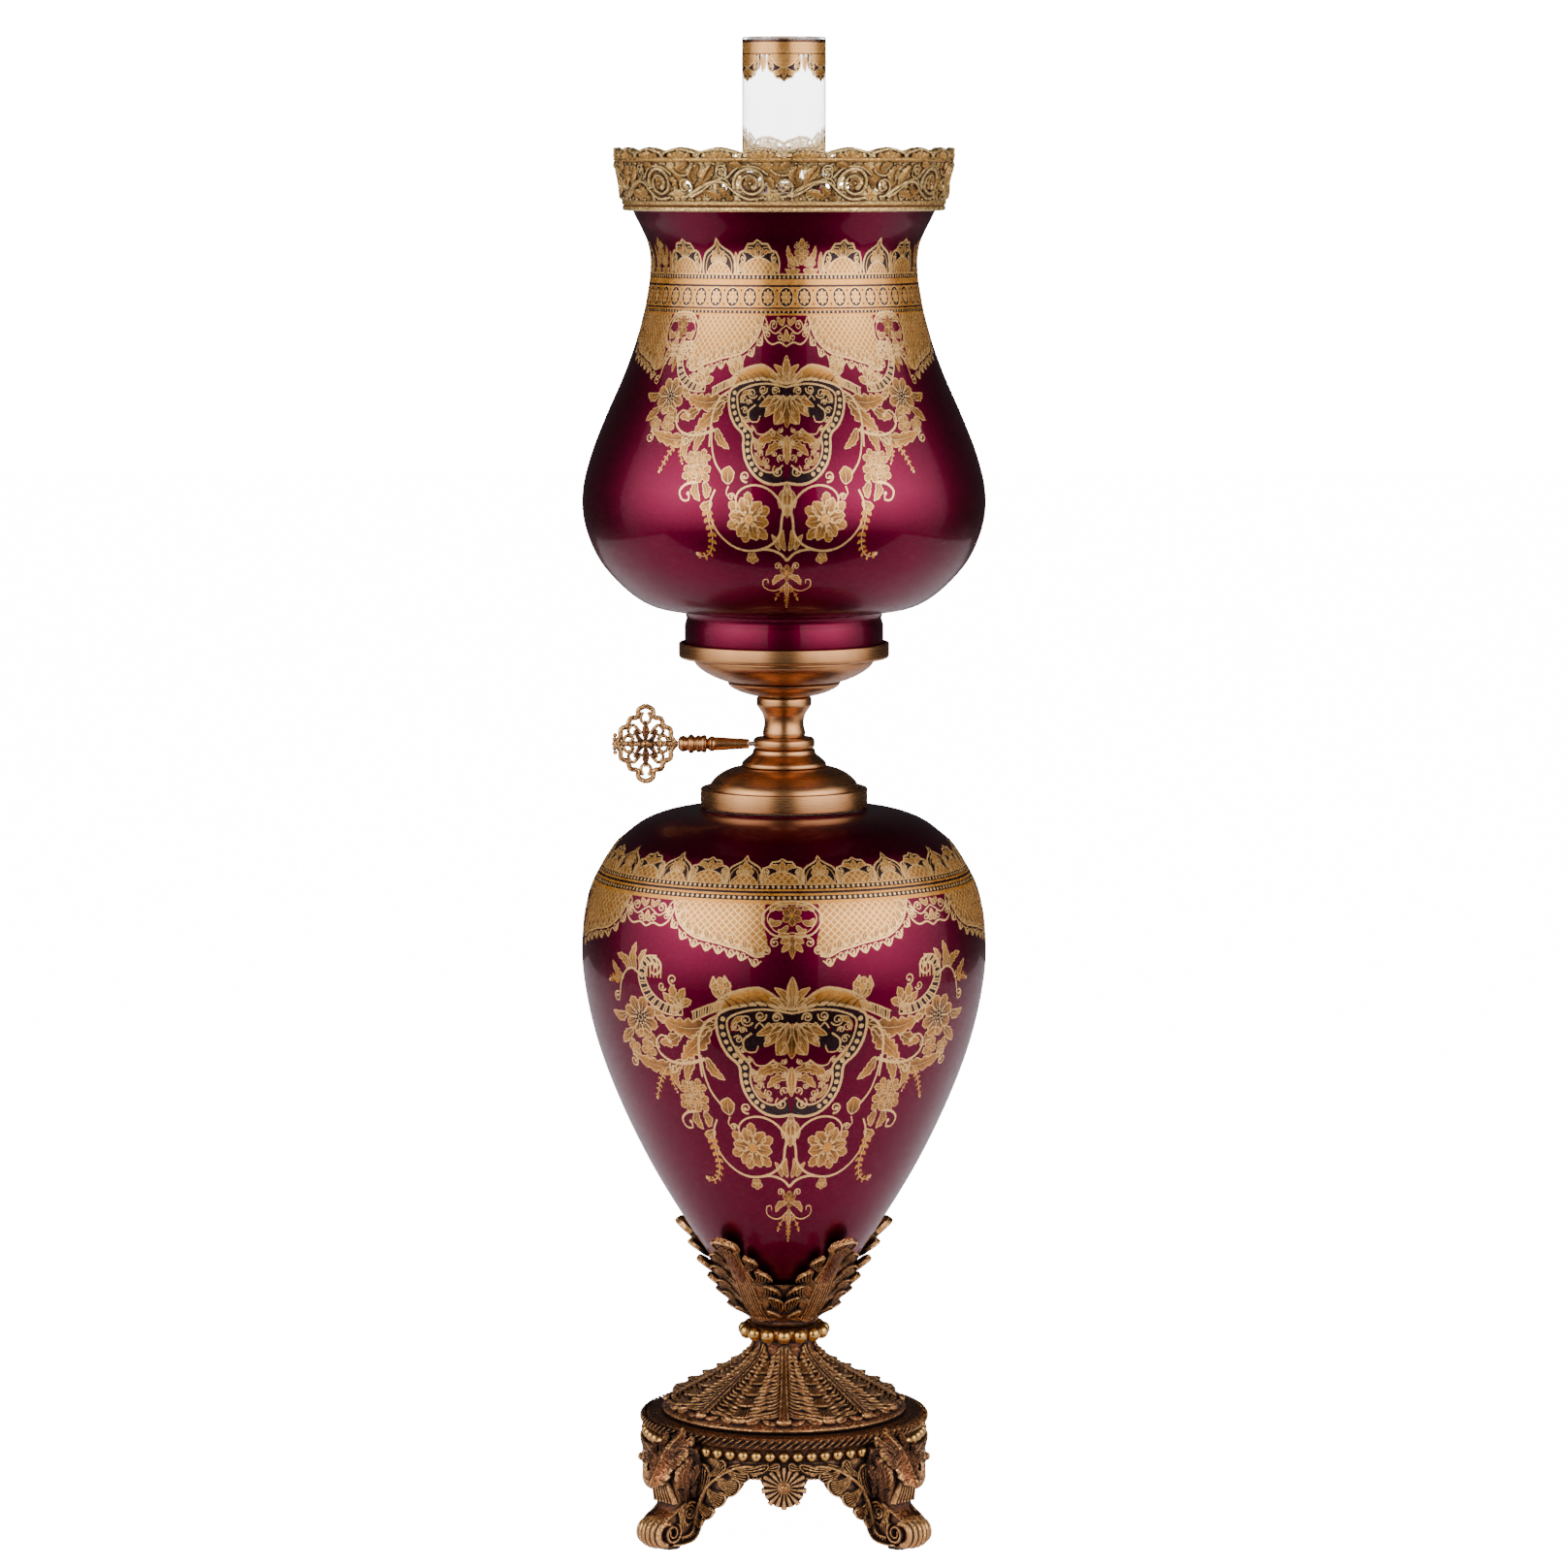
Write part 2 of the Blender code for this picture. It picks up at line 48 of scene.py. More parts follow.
stageLook = {
    "cameraPlace": (-0.0005, -2.9327, 0.7014),
    "cameraAim": (0, 0, 0.3828),
    "cameraLens": 132.95,
    "floorColour": (0.93, 0.925, 0.92, 1),
    "floorGlow": 17,
    "backdropGlow": 19,
    "throughGlow": 6,         # the white seen through clear glass
    "roomGlow": 0.035,           # what polished metal and glass mirror from the dark of the room
    "panelGlow": 4.9,
    "panelDistance": 1.9,
    "panelInner": 18.5,         # degrees from the camera where each white panel starts, hard edged
    "panelFade": (60, 104),     # and where it fades away
    "panelLow": (-0.25, 0.95),
    "panelHigh": (1.15, 2.3),
    "tableFront": -0.36,        # front edge of the white table that the glass mirrors
    # the table's glow from in front of the lamp to its sides: the low front value is painted shade
    "tableGlow": (0.09, 0.30),
    "tableSides": (0.06, 0.30),
}


def aimAt(thing, target):
    turn = (Vector(target) - thing.location).to_track_quat("-Z", "Y")
    thing.rotation_euler = turn.to_euler()


def addCamera(look):
    bpy.ops.object.camera_add(location=look["cameraPlace"])
    camera = bpy.context.object
    camera.name = "studioCamera"
    camera.data.lens = look["cameraLens"]
    camera.data.sensor_width = 36
    camera.data.clip_start = 0.05
    camera.data.clip_end = 60
    aimAt(camera, look["cameraAim"])
    sceneData.camera = camera


def glowMaterial(name, colour, strength):
    material = bpy.data.materials.new(name)
    material.use_nodes = True
    shader = material.node_tree.nodes["Principled BSDF"]
    shader.inputs["Base Color"].default_value = colour
    shader.inputs["Roughness"].default_value = 0.9
    shader.inputs["Specular IOR Level"].default_value = 0
    shader.inputs["Emission Color"].default_value = colour
    shader.inputs["Emission Strength"].default_value = strength
    return material


def addStagePlane(name, size, place, material, seen=("camera",)):
    bpy.ops.mesh.primitive_plane_add(size=1, location=place)
    plane = bpy.context.object
    plane.name = name
    plane.scale = (size[0], size[1], 1)
    plane.data.materials.append(material)
    plane.visible_camera = "camera" in seen
    plane.visible_glossy = "glossy" in seen
    plane.visible_diffuse = "diffuse" in seen
    plane.visible_transmission = "glass" in seen
    plane.visible_shadow = False
    return plane


def buildStage(look):
    world = bpy.data.worlds.new("studioRoom")
    world.use_nodes = True
    sceneData.world = world
    nodes, links = world.node_tree.nodes, world.node_tree.links
    glows = [nodes["Background"], nodes.new("ShaderNodeBackground"), nodes.new("ShaderNodeBackground")]
    for glow, colour, key in zip(glows, ((0.95, 0.97, 1, 1), (1, 1, 1, 1), (0.97, 0.96, 1, 1)),
            ("roomGlow", "backdropGlow", "throughGlow")):
        glow.inputs["Color"].default_value = colour
        glow.inputs["Strength"].default_value = look[key]
    path = nodes.new("ShaderNodeLightPath")
    last = glows[0].outputs[0]
    for ray, glow in (("Is Transmission Ray", glows[2]), ("Is Camera Ray", glows[1])):
        mix = nodes.new("ShaderNodeMixShader")
        links.new(path.outputs[ray], mix.inputs[0])
        links.new(last, mix.inputs[1])
        links.new(glow.outputs[0], mix.inputs[2])
        last = mix.outputs[0]
    links.new(last, nodes["World Output"].inputs["Surface"])

    floorWhite = glowMaterial("floorWhite", look["floorColour"], look["floorGlow"])
    addStagePlane("floor", (14, 14), (0, 3, -0.0002), floorWhite)
    depth = 2.2
    addStagePlane("tableTop", (2.4, depth), (0, look["tableFront"] + depth / 2, -0.0006),
        tableMaterial(look), seen=("glossy", "diffuse"))
    for side in (-1, 1):
        addPanel("whitePanelRight" if side > 0 else "whitePanelLeft", side, look)


# glowing white table top seen only in reflections: its glow stands in for light on the table, with painted
# shade in front of the lamp and brighter glow to its sides
def tableMaterial(look):
    material = glowMaterial("tableWhite", (1, 0.93, 0.97, 1), 1)
    tree = material.node_tree
    place = addNode(tree, "ShaderNodeTexCoord").outputs["Object"]
    split = addNode(tree, "ShaderNodeSeparateXYZ", [(0, place)])
    size = 2.4   # the plane is scaled, so its own x runs from -0.5 to 0.5
    reach = mathNode(tree, "MULTIPLY", mathNode(tree, "ABSOLUTE", split.outputs["X"]), size)
    glow = rampNode(tree, reach, *look["tableSides"], *look["tableGlow"])
    tree.links.new(glow, tree.nodes["Principled BSDF"].inputs["Emission Strength"])
    return material


# a tall white curved panel beside the camera: a hard inner edge, and soft top, foot and far edge
def addPanel(name, side, look):
    shell = bmesh.new()
    degrees = np.linspace(look["panelInner"], look["panelFade"][1], 24)
    columns = []
    for angle in np.radians(degrees) * side:
        x, y = look["panelDistance"] * math.sin(angle), -look["panelDistance"] * math.cos(angle)
        columns.append([shell.verts.new((x, y, z)) for z in (look["panelLow"][0], look["panelHigh"][1])])
    for first, second in zip(columns, columns[1:]):
        shell.faces.new((first[0], second[0], second[1], first[1]))
    mesh = bpy.data.meshes.new(name)
    shell.to_mesh(mesh)
    shell.free()
    panel = bpy.data.objects.new(name, mesh)
    sceneData.collection.objects.link(panel)
    material = glowMaterial(name, (1, 1, 1, 1), look["panelGlow"])
    tree = material.node_tree
    split = addNode(tree, "ShaderNodeSeparateXYZ", [(0, addNode(tree,
        "ShaderNodeTexCoord").outputs["Object"])])
    turn = mathNode(tree, "ARCTAN2", mathNode(tree, "ABSOLUTE", split.outputs["X"]),
        mathNode(tree, "MULTIPLY", split.outputs["Y"], -1))
    far = rampNode(tree, turn, math.radians(look["panelFade"][0]), math.radians(look["panelFade"][1]), 1, 0)
    near = rampNode(tree, turn, math.radians(look["panelInner"]), math.radians(look["panelFade"][0]), 0.6, 1)
    low = rampNode(tree, split.outputs["Z"], *look["panelLow"], 0, 1)
    high = rampNode(tree, split.outputs["Z"], *look["panelHigh"], 1, 0)
    glow = mathNode(tree, "MULTIPLY", mathNode(tree, "MULTIPLY", far, near),
        mathNode(tree, "MULTIPLY", low, high))
    tree.links.new(mathNode(tree, "MULTIPLY", glow, look["panelGlow"]),
        tree.nodes["Principled BSDF"].inputs["Emission Strength"])
    mesh.materials.append(material)
    panel.visible_camera = False
    panel.visible_transmission = False
    panel.visible_shadow = False


# shared shader groups


def newGroup(name, inputs, outputs):
    group = bpy.data.node_groups.new(name, "ShaderNodeTree")
    for label, kind, value in inputs:
        socket = group.interface.new_socket(name=label, in_out="INPUT", socket_type=kind)
        socket.default_value = value
    for label, kind in outputs:
        group.interface.new_socket(name=label, in_out="OUTPUT", socket_type=kind)
    return group, group.nodes.new("NodeGroupInput"), group.nodes.new("NodeGroupOutput")


# one node with settings, and (its socket, source socket) links
def addNode(tree, kind, links=(), **values):
    node = tree.nodes.new(kind)
    for key, value in values.items():
        if key.startswith("in_"):
            socket = node.inputs[int(key[3:])] if key[3:].isdigit() else node.inputs[key[3:].replace("_",
                " ")]
            socket.default_value = value
        else:
            setattr(node, key, value)
    for socket, source in links:
        tree.links.new(source, node.inputs[socket])
    return node


def mathNode(tree, operation, first, second=None, clamp=False):
    node = tree.nodes.new("ShaderNodeMath")
    node.operation = operation
    node.use_clamp = clamp
    for index, value in enumerate((first, second)):
        if value is None:
            continue
        if isinstance(value, (int, float)):
            node.inputs[index].default_value = value
        else:
            tree.links.new(value, node.inputs[index])
    return node.outputs[0]


def rampNode(tree, source, low, high, outLow=0, outHigh=1):
    node = addNode(tree, "ShaderNodeMapRange", clamp=True)
    tree.links.new(source, node.inputs["Value"])
    node.inputs["From Min"].default_value = low
    node.inputs["From Max"].default_value = high
    node.inputs["To Min"].default_value = outLow
    node.inputs["To Max"].default_value = outHigh
    return node.outputs["Result"]


def mixColour(tree, factor, first, second):
    node = tree.nodes.new("ShaderNodeMix")
    node.data_type = "RGBA"
    for index, value in ((0, factor), (6, first), (7, second)):
        if isinstance(value, (int, float, tuple)):
            node.inputs[index].default_value = value
        else:
            tree.links.new(value, node.inputs[index])
    return node.outputs[2]


addCamera(stageLook)
buildStage(stageLook)
print("stage ready")


def buildAgeGroup():
    # painted shade in recesses from ambient occlusion (standing also for dark patina there), rubbed high
    # places, chased swirls and sand-cast grain of an old casting
    group, entry, exit = newGroup("castingAge", [("Recess Depth", "NodeSocketFloat", 0.004),
        ("Grain Scale", "NodeSocketFloat", 900), ("Chase Scale", "NodeSocketFloat", 320)],
        [("Recess", "NodeSocketFloat"), ("Rub", "NodeSocketFloat"), ("Grain", "NodeSocketFloat"),
        ("Mottle", "NodeSocketFloat"), ("Chase", "NodeSocketFloat")])
    place = addNode(group, "ShaderNodeTexCoord").outputs["Object"]
    # painted shade: ambient occlusion finds the shaded hollows, which are darkened for shade and patina
    # together
    shade = addNode(group, "ShaderNodeAmbientOcclusion", samples=8)
    group.links.new(entry.outputs["Recess Depth"], shade.inputs["Distance"])
    hollowShadeAndPatina = rampNode(group, shade.outputs["AO"], 0.95, 0.35)
    point = addNode(group, "ShaderNodeNewGeometry").outputs["Pointiness"]
    rub = rampNode(group, point, 0.51, 0.58)
    grain = addNode(group, "ShaderNodeTexNoise", [("Vector", place),
        ("Scale", entry.outputs["Grain Scale"])], in_Detail=3)
    mottle = addNode(group, "ShaderNodeTexNoise", [("Vector", place)], in_Scale=70, in_Detail=4)
    swirl = addNode(group, "ShaderNodeTexNoise", [("Vector", place),
        ("Scale", entry.outputs["Chase Scale"])], in_Detail=1, in_Distortion=1.6)
    offset = mathNode(group, "ABSOLUTE", mathNode(group, "SUBTRACT", swirl.outputs["Fac"], 0.5))
    chase = mathNode(group, "MULTIPLY", offset, 9, clamp=True)     # nought along each cut line
    for label, source in (("Recess", hollowShadeAndPatina), ("Rub", rub), ("Grain", grain.outputs["Fac"]),
            ("Mottle", mottle.outputs["Fac"]), ("Chase", chase)):
        group.links.new(source, exit.inputs[label])
    return group


# fine turning rings that run round Z, and slow colour change
def buildLatheGroup():
    group, entry, exit = newGroup("latheMarks", [("Ring Scale", "NodeSocketFloat", 2600)],
        [("Rings", "NodeSocketFloat"), ("Cloud", "NodeSocketFloat")])
    place = addNode(group, "ShaderNodeTexCoord").outputs["Object"]
    split = addNode(group, "ShaderNodeSeparateXYZ", [(0, place)])
    reach = addNode(group, "ShaderNodeVectorMath", [(0, place)], operation="MULTIPLY", in_1=(1, 1, 0))
    radius = addNode(group, "ShaderNodeVectorMath", [(0, reach.outputs[0])],
        operation="LENGTH").outputs["Value"]
    along = mathNode(group, "ADD", mathNode(group, "MULTIPLY", radius, 0.8), split.outputs["Z"])
    rings = addNode(group, "ShaderNodeTexNoise", noise_dimensions="1D", in_Detail=2)
    group.links.new(along, rings.inputs["W"])
    group.links.new(entry.outputs["Ring Scale"], rings.inputs["Scale"])
    cloud = addNode(group, "ShaderNodeTexNoise", [("Vector", place)], in_Scale=45, in_Detail=3)
    group.links.new(rings.outputs["Fac"], exit.inputs["Rings"])
    group.links.new(cloud.outputs["Fac"], exit.inputs["Cloud"])
    return group


ageGroup = buildAgeGroup()
latheGroup = buildLatheGroup()


def startMaterial(name, **sockets):
    material = bpy.data.materials.new(name)
    material.use_nodes = True
    tree = material.node_tree
    shader = tree.nodes["Principled BSDF"]
    for label, value in sockets.items():
        shader.inputs[label.replace("_", " ")].default_value = value
    return material, tree, shader


def placeGroup(tree, group, **values):
    node = tree.nodes.new("ShaderNodeGroup")
    node.node_tree = group
    for label, value in values.items():
        node.inputs[label.replace("_", " ")].default_value = value
    return node


def addBump(tree, shader, height, strength, distance):
    bump = addNode(tree, "ShaderNodeBump", [("Height", height)], in_Strength=strength, in_Distance=distance)
    tree.links.new(bump.outputs["Normal"], shader.inputs["Normal"])


def castMetal(name, look):
    # antiqued casting: painted shade and patina in recesses, darker chased cut lines, mid tone, bright rubbed
    # edges
    material, tree, shader = startMaterial(name, Metallic=1)
    age = placeGroup(tree, ageGroup, Recess_Depth=look["hollowShadeReach"], Grain_Scale=look["grainScale"],
        Chase_Scale=look["chaseScale"])
    patchy = rampNode(tree, age.outputs["Mottle"], 0.35, 0.65)
    body = mixColour(tree, patchy, look["body"], look["bodyWarm"])
    rubbed = mixColour(tree, age.outputs["Rub"], body, look["rubbed"])
    cutLines = mathNode(tree, "MULTIPLY", mathNode(tree, "SUBTRACT", 1, age.outputs["Chase"]),
        look["cutLineDarkening"])
    # painted shade and patina in the hollows, plus darker cut lines, laid over the rubbed colour
    hollowShadeAndCutLines = mathNode(tree, "ADD", mathNode(tree, "MULTIPLY", age.outputs["Recess"], look["dirt"]), cutLines,
        clamp=True)
    tree.links.new(mixColour(tree, hollowShadeAndCutLines, rubbed, look["hollowShadeAndPatina"]), shader.inputs["Base Color"])
    rough = mathNode(tree, "ADD", look["roughness"], mathNode(tree, "MULTIPLY", hollowShadeAndCutLines, 0.3), clamp=True)
    tree.links.new(rough, shader.inputs["Roughness"])
    tree.links.new(mathNode(tree, "SUBTRACT", 1, mathNode(tree, "MULTIPLY", hollowShadeAndCutLines, 0.6)),
        shader.inputs["Metallic"])
    height = mathNode(tree, "ADD", mathNode(tree, "MULTIPLY", age.outputs["Grain"], look["grainBump"]),
        mathNode(tree, "MULTIPLY", age.outputs["Chase"], look["chaseBump"]))
    addBump(tree, shader, height, 0.8, 0.0006)
    return material


# spun or turned metal with fine rings and a faint cloud of tarnish
def turnedMetal(name, look):
    material, tree, shader = startMaterial(name, Metallic=1)
    marks = placeGroup(tree, latheGroup, Ring_Scale=look["ringScale"])
    cloud = rampNode(tree, marks.outputs["Cloud"], 0.35, 0.7)
    tree.links.new(mixColour(tree, cloud, look["colour"], look["tarnish"]), shader.inputs["Base Color"])
    tree.links.new(rampNode(tree, marks.outputs["Rings"], 0.3, 0.7, look["roughness"] - 0.05,
        look["roughness"] + 0.06), shader.inputs["Roughness"])
    addBump(tree, shader, marks.outputs["Rings"], look["ringBump"], 0.0002)
    return material


# candy ruby: a broad metallic glow under a hard clear coat
def rubyMaterial(name, look):
    material, tree, shader = startMaterial(name, Metallic=look["metallic"], Coat_Weight=0.62,
        Coat_Roughness=0.02, Coat_IOR=1.26)
    place = addNode(tree, "ShaderNodeTexCoord").outputs["Object"]
    cloud = addNode(tree, "ShaderNodeTexNoise", [("Vector", place)], in_Scale=18, in_Detail=3)
    tree.links.new(mixColour(tree, rampNode(tree, cloud.outputs["Fac"], 0.35, 0.65), look["deep"],
        look["light"]), shader.inputs["Base Color"])
    speck = addNode(tree, "ShaderNodeTexNoise", [("Vector", place)], in_Scale=2400, in_Detail=1)
    tree.links.new(rampNode(tree, speck.outputs["Fac"], 0.3, 0.7, look["roughness"] - 0.03,
        look["roughness"] + 0.03), shader.inputs["Roughness"])
    return material


def clearGlassMaterial(name):
    material, tree, shader = startMaterial(name, Base_Color=(0.985, 0.99, 0.995, 1), Transmission_Weight=1,
        IOR=1.45)
    place = addNode(tree, "ShaderNodeTexCoord").outputs["Object"]
    film = addNode(tree, "ShaderNodeTexNoise", [("Vector", place)], in_Scale=30, in_Detail=4)
    tree.links.new(rampNode(tree, film.outputs["Fac"], 0.45, 0.8, 0, 0.05), shader.inputs["Roughness"])
    return material


# felt, cork or cotton: mottled fibres with a soft bump
def fibreMaterial(name, colour, darker, scale, roughness=0.95):
    material, tree, shader = startMaterial(name, Roughness=roughness, Sheen_Weight=0.3)
    place = addNode(tree, "ShaderNodeTexCoord").outputs["Object"]
    fibres = addNode(tree, "ShaderNodeTexNoise", [("Vector", place)], in_Scale=scale, in_Detail=5)
    tree.links.new(mixColour(tree, rampNode(tree, fibres.outputs["Fac"], 0.3, 0.7), darker, colour),
        shader.inputs["Base Color"])
    addBump(tree, shader, fibres.outputs["Fac"], 0.6, 0.0004)
    return material


finishes = {
    "ruby": rubyMaterial("rubyGlass", {"deep": (0.118, 0, 0.019, 1), "light": (0.148, 0.0005, 0.026, 1),
        "metallic": 1, "roughness": 0.37}),
    "clear": clearGlassMaterial("clearGlass"),
    # bronze and gilt: the darkest colour and its weight paint shade into hollows, together with patina
    "bronze": castMetal("antiqueBronze", {"body": (0.20, 0.066, 0.028, 1),
        "bodyWarm": (0.31, 0.112, 0.042, 1), "rubbed": (0.86, 0.45, 0.17, 1),
        "hollowShadeAndPatina": (0.024, 0.007, 0.004, 1), "hollowShadeReach": 0.0046, "grainScale": 1100, "dirt": 1.9,
        "chaseScale": 300, "cutLineDarkening": 0.24, "chaseBump": 0.5, "roughness": 0.20, "grainBump": 0.2}),
    "gilt": castMetal("giltBronze", {"body": (0.60, 0.30, 0.075, 1), "bodyWarm": (0.70, 0.37, 0.10, 1),
        "rubbed": (1, 0.72, 0.31, 1), "hollowShadeAndPatina": (0.075, 0.024, 0.006, 1), "hollowShadeReach": 0.0026,
        "grainScale": 1200, "dirt": 1.5, "chaseScale": 480, "cutLineDarkening": 0.22, "chaseBump": 0.4,
        "roughness": 0.24, "grainBump": 0.2}),
    "copper": turnedMetal("copperBronze", {"colour": (0.52, 0.25, 0.105, 1),
        "tarnish": (0.42, 0.19, 0.075, 1), "roughness": 0.30, "ringScale": 2600, "ringBump": 0.12}),
    "brass": turnedMetal("burnerBrass", {"colour": (0.66, 0.47, 0.20, 1), "tarnish": (0.50, 0.34, 0.14, 1),
        "roughness": 0.34, "ringScale": 2200, "ringBump": 0.2}),
    "steel": turnedMetal("platedSteel", {"colour": (0.50, 0.50, 0.49, 1), "tarnish": (0.36, 0.36, 0.35, 1),
        "roughness": 0.4, "ringScale": 3000, "ringBump": 0.3}),
    "felt": fibreMaterial("darkFelt", (0.05, 0.045, 0.04, 1), (0.015, 0.013, 0.012, 1), 1500),
    "cork": fibreMaterial("corkRing", (0.46, 0.31, 0.18, 1), (0.22, 0.13, 0.07, 1), 700, 0.85),
    "cotton": fibreMaterial("wickCotton", (0.80, 0.76, 0.66, 1), (0.56, 0.51, 0.42, 1), 1800),
}
slotNames = {
    "ruby": "ruby_glass", "clear": "clear_glass", "bronze": "cast_bronze", "gilt": "crown_brass",
    "foil": "crown_brass", "copper": "copper_bronze", "brass": "burner_brass", "bead": "bead_brass",
}
print("finishes ready")

# turned pieces


# catmull-Rom curve through points, one new point about every step
def smoothLine(points, step):
    pts = np.array(points, float)
    ends = np.vstack([2 * pts[0] - pts[1], pts, 2 * pts[-1] - pts[-2]])
    out = []
    for index in range(1, len(ends) - 2):
        p0, p1, p2, p3 = ends[index - 1:index + 3]
        count = max(1, int(round(np.linalg.norm((p2 - p1)[:2]) / step)))
        for t in np.arange(count) / count:
            out.append(0.5 * (2 * p1 + (p2 - p0) * t + (2 * p0 - 5 * p1 + 4 * p2 - p3) * t * t
                + (3 * p1 - p0 - 3 * p2 + p3) * t ** 3))
    out.append(pts[-1])
    return np.array(out)


def polar(centre, reach, angle, stretch=1, squash=1):
    return (centre[0] + reach * math.cos(angle) * stretch, centre[1] + reach * math.sin(angle) * squash)


# distance along a line at each point, and its unit direction there
def lineMeasure(line):
    along = np.concatenate([[0], np.cumsum(np.linalg.norm(np.diff(line, axis=0), axis=1))])
    slope = np.gradient(line, axis=0)
    return along, slope / np.linalg.norm(slope, axis=1)[:, None]


# unit direction of a flat path at each point
def lineRun(path):
    run = np.gradient(path, axis=0)
    return run / np.maximum(np.linalg.norm(run, axis=1), 1e-9)[:, None]


# a closed outline with each corner turned into a short curve; a third value sets its own radius
def roundedOutline(points, radius=0.4, arcs=3):
    out = []
    count = len(points)
    for index, point in enumerate(points):
        here = Vector(point[:2])
        before, after = Vector(points[index - 1][:2]), Vector(points[(index + 1) % count][:2])
        bend = point[2] if len(point) > 2 else radius
        near = here + (before - here).normalized() * min(bend, (before - here).length * 0.45)
        far = here + (after - here).normalized() * min(bend, (after - here).length * 0.45)
        if here.x == 0 or bend == 0:
            out.append(tuple(here))
            continue
        for step in range(arcs + 1):
            t = step / arcs
            spot = near * (1 - t) ** 2 + here * 2 * t * (1 - t) + far * t * t
            out.append(tuple(spot))
    return out


def deselectAll():
    if bpy.context.object and bpy.context.object.mode != "OBJECT":
        bpy.ops.object.mode_set(mode="OBJECT")
    bpy.ops.object.select_all(action="DESELECT")


def makeActive(piece):
    deselectAll()
    piece.select_set(True)
    bpy.context.view_layer.objects.active = piece


# spin an outline of (radius, height) in millimetres round the lamp's axis
def turnOutline(name, outline, steps=96):
    mesh = bpy.data.meshes.new(name)
    edges = [(i, (i + 1) % len(outline)) for i in range(len(outline))]
    edges = [pair for pair in edges if outline[pair[0]][0] > 0 or outline[pair[1]][0] > 0]
    mesh.from_pydata([(r * mm, 0, z * mm) for r, z in outline], edges, [])
    piece = bpy.data.objects.new(name, mesh)
    sceneData.collection.objects.link(piece)
    makeActive(piece)
    bpy.ops.object.mode_set(mode="EDIT")
    bpy.ops.mesh.select_all(action="SELECT")
    bpy.ops.mesh.spin(steps=steps, angle=wholeTurn, center=(0, 0, 0), axis=(0, 0, 1))
    bpy.ops.mesh.select_all(action="SELECT")
    bpy.ops.mesh.remove_doubles(threshold=0.000002)
    bpy.ops.mesh.normals_make_consistent(inside=False)
    bpy.ops.object.mode_set(mode="OBJECT")
    bpy.ops.object.shade_smooth_by_angle(angle=math.radians(35))
    return piece


# give a finished piece its material, its body and the CAD nodes that it stands for
def settle(piece, body, finish, nodes=(), slotName=None):
    piece.data.materials.clear()
    piece.data.materials.append(finishes[finish])
    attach(piece, body)
    slotName or slotNames[finish]
    if nodes:
        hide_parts(*nodes)
    return piece


vaseShape = {
    "outer": [(18, 117), (35.1, 136), (52, 161), (69.1, 190), (84.4, 222), (95.4, 252), (101.8, 281),
        (103, 305), (98.7, 330), (87.8, 350.1), (80, 358), (72, 363.8), (62, 367.8), (52, 369.6),
        (43.9, 370)],
    "wall": 4,
    "lip": [(43.4, 370.5), (43, 370.9), (37.4, 370.9), (37, 370.5)],
}
shadeShape = {
    "outer": [(51.5, 471.4), (66.5, 474), (79.6, 482), (93.2, 497), (100.8, 515), (102, 532), (97.9, 550),
        (90.2, 570), (80.5, 592), (72.6, 615), (67.9, 638), (68, 655), (75.1, 671), (79, 679)],
    "wall": 3.2,
    "collar": [(47.3, 449.5), (50.1, 449.5), (50.5, 450.1), (50.5, 464.2), (49.9, 466.3), (49.5, 467.8),
        (50, 469.9)],
}


# the line moved inwards by a wall's thickness
def insetLine(points, wall):
    run = np.gradient(np.array(points, float), axis=0)
    run /= np.linalg.norm(run, axis=1)[:, None]
    return [(r - dz * wall, z + dr * wall) for (r, z), (dr, dz) in zip(points, run)]


def buildVase(shape):
    outer = [tuple(p) for p in smoothLine(shape["outer"], 3)]
    inner = [(max(r, 12), z) for r, z in insetLine(outer, shape["wall"]) if 121 < z < 366]
    outline = [(5.3, 117), (17, 117)] + outer + shape["lip"] + [(37, 366.5)] + inner[::-1] + [(5.3, 121)]
    piece = turnOutline("vaseGlass", outline, 160)
    return settle(piece, "base", "ruby", ["vase"])


def buildShade(shape):
    outer = [tuple(p) for p in smoothLine(shape["outer"], 3)]
    inner = insetLine(outer, shape["wall"])[1:-1]
    outline = shape["collar"] + outer + [(79, 680.4), (78.4, 681), (76.6, 681), (76, 680.4)]
    outline += inner[::-1] + [(48.5, 474.4), (46.3, 467.8), (47.3, 464)]
    piece = turnOutline("shadeGlass", outline, 160)
    return settle(piece, "shade", "ruby", ["shade"])


def buildChimney():
    outline = roundedOutline([(19.1, 465.9), (21.1, 465.9), (21.1, 760.4), (19.1, 760.4)], 0.9, 5)
    piece = turnOutline("chimneyTube", outline, 128)
    return settle(piece, "chimney", "clear", ["chimney"])


buildVase(vaseShape)
buildShade(shadeShape)
buildChimney()
print("glass ready")

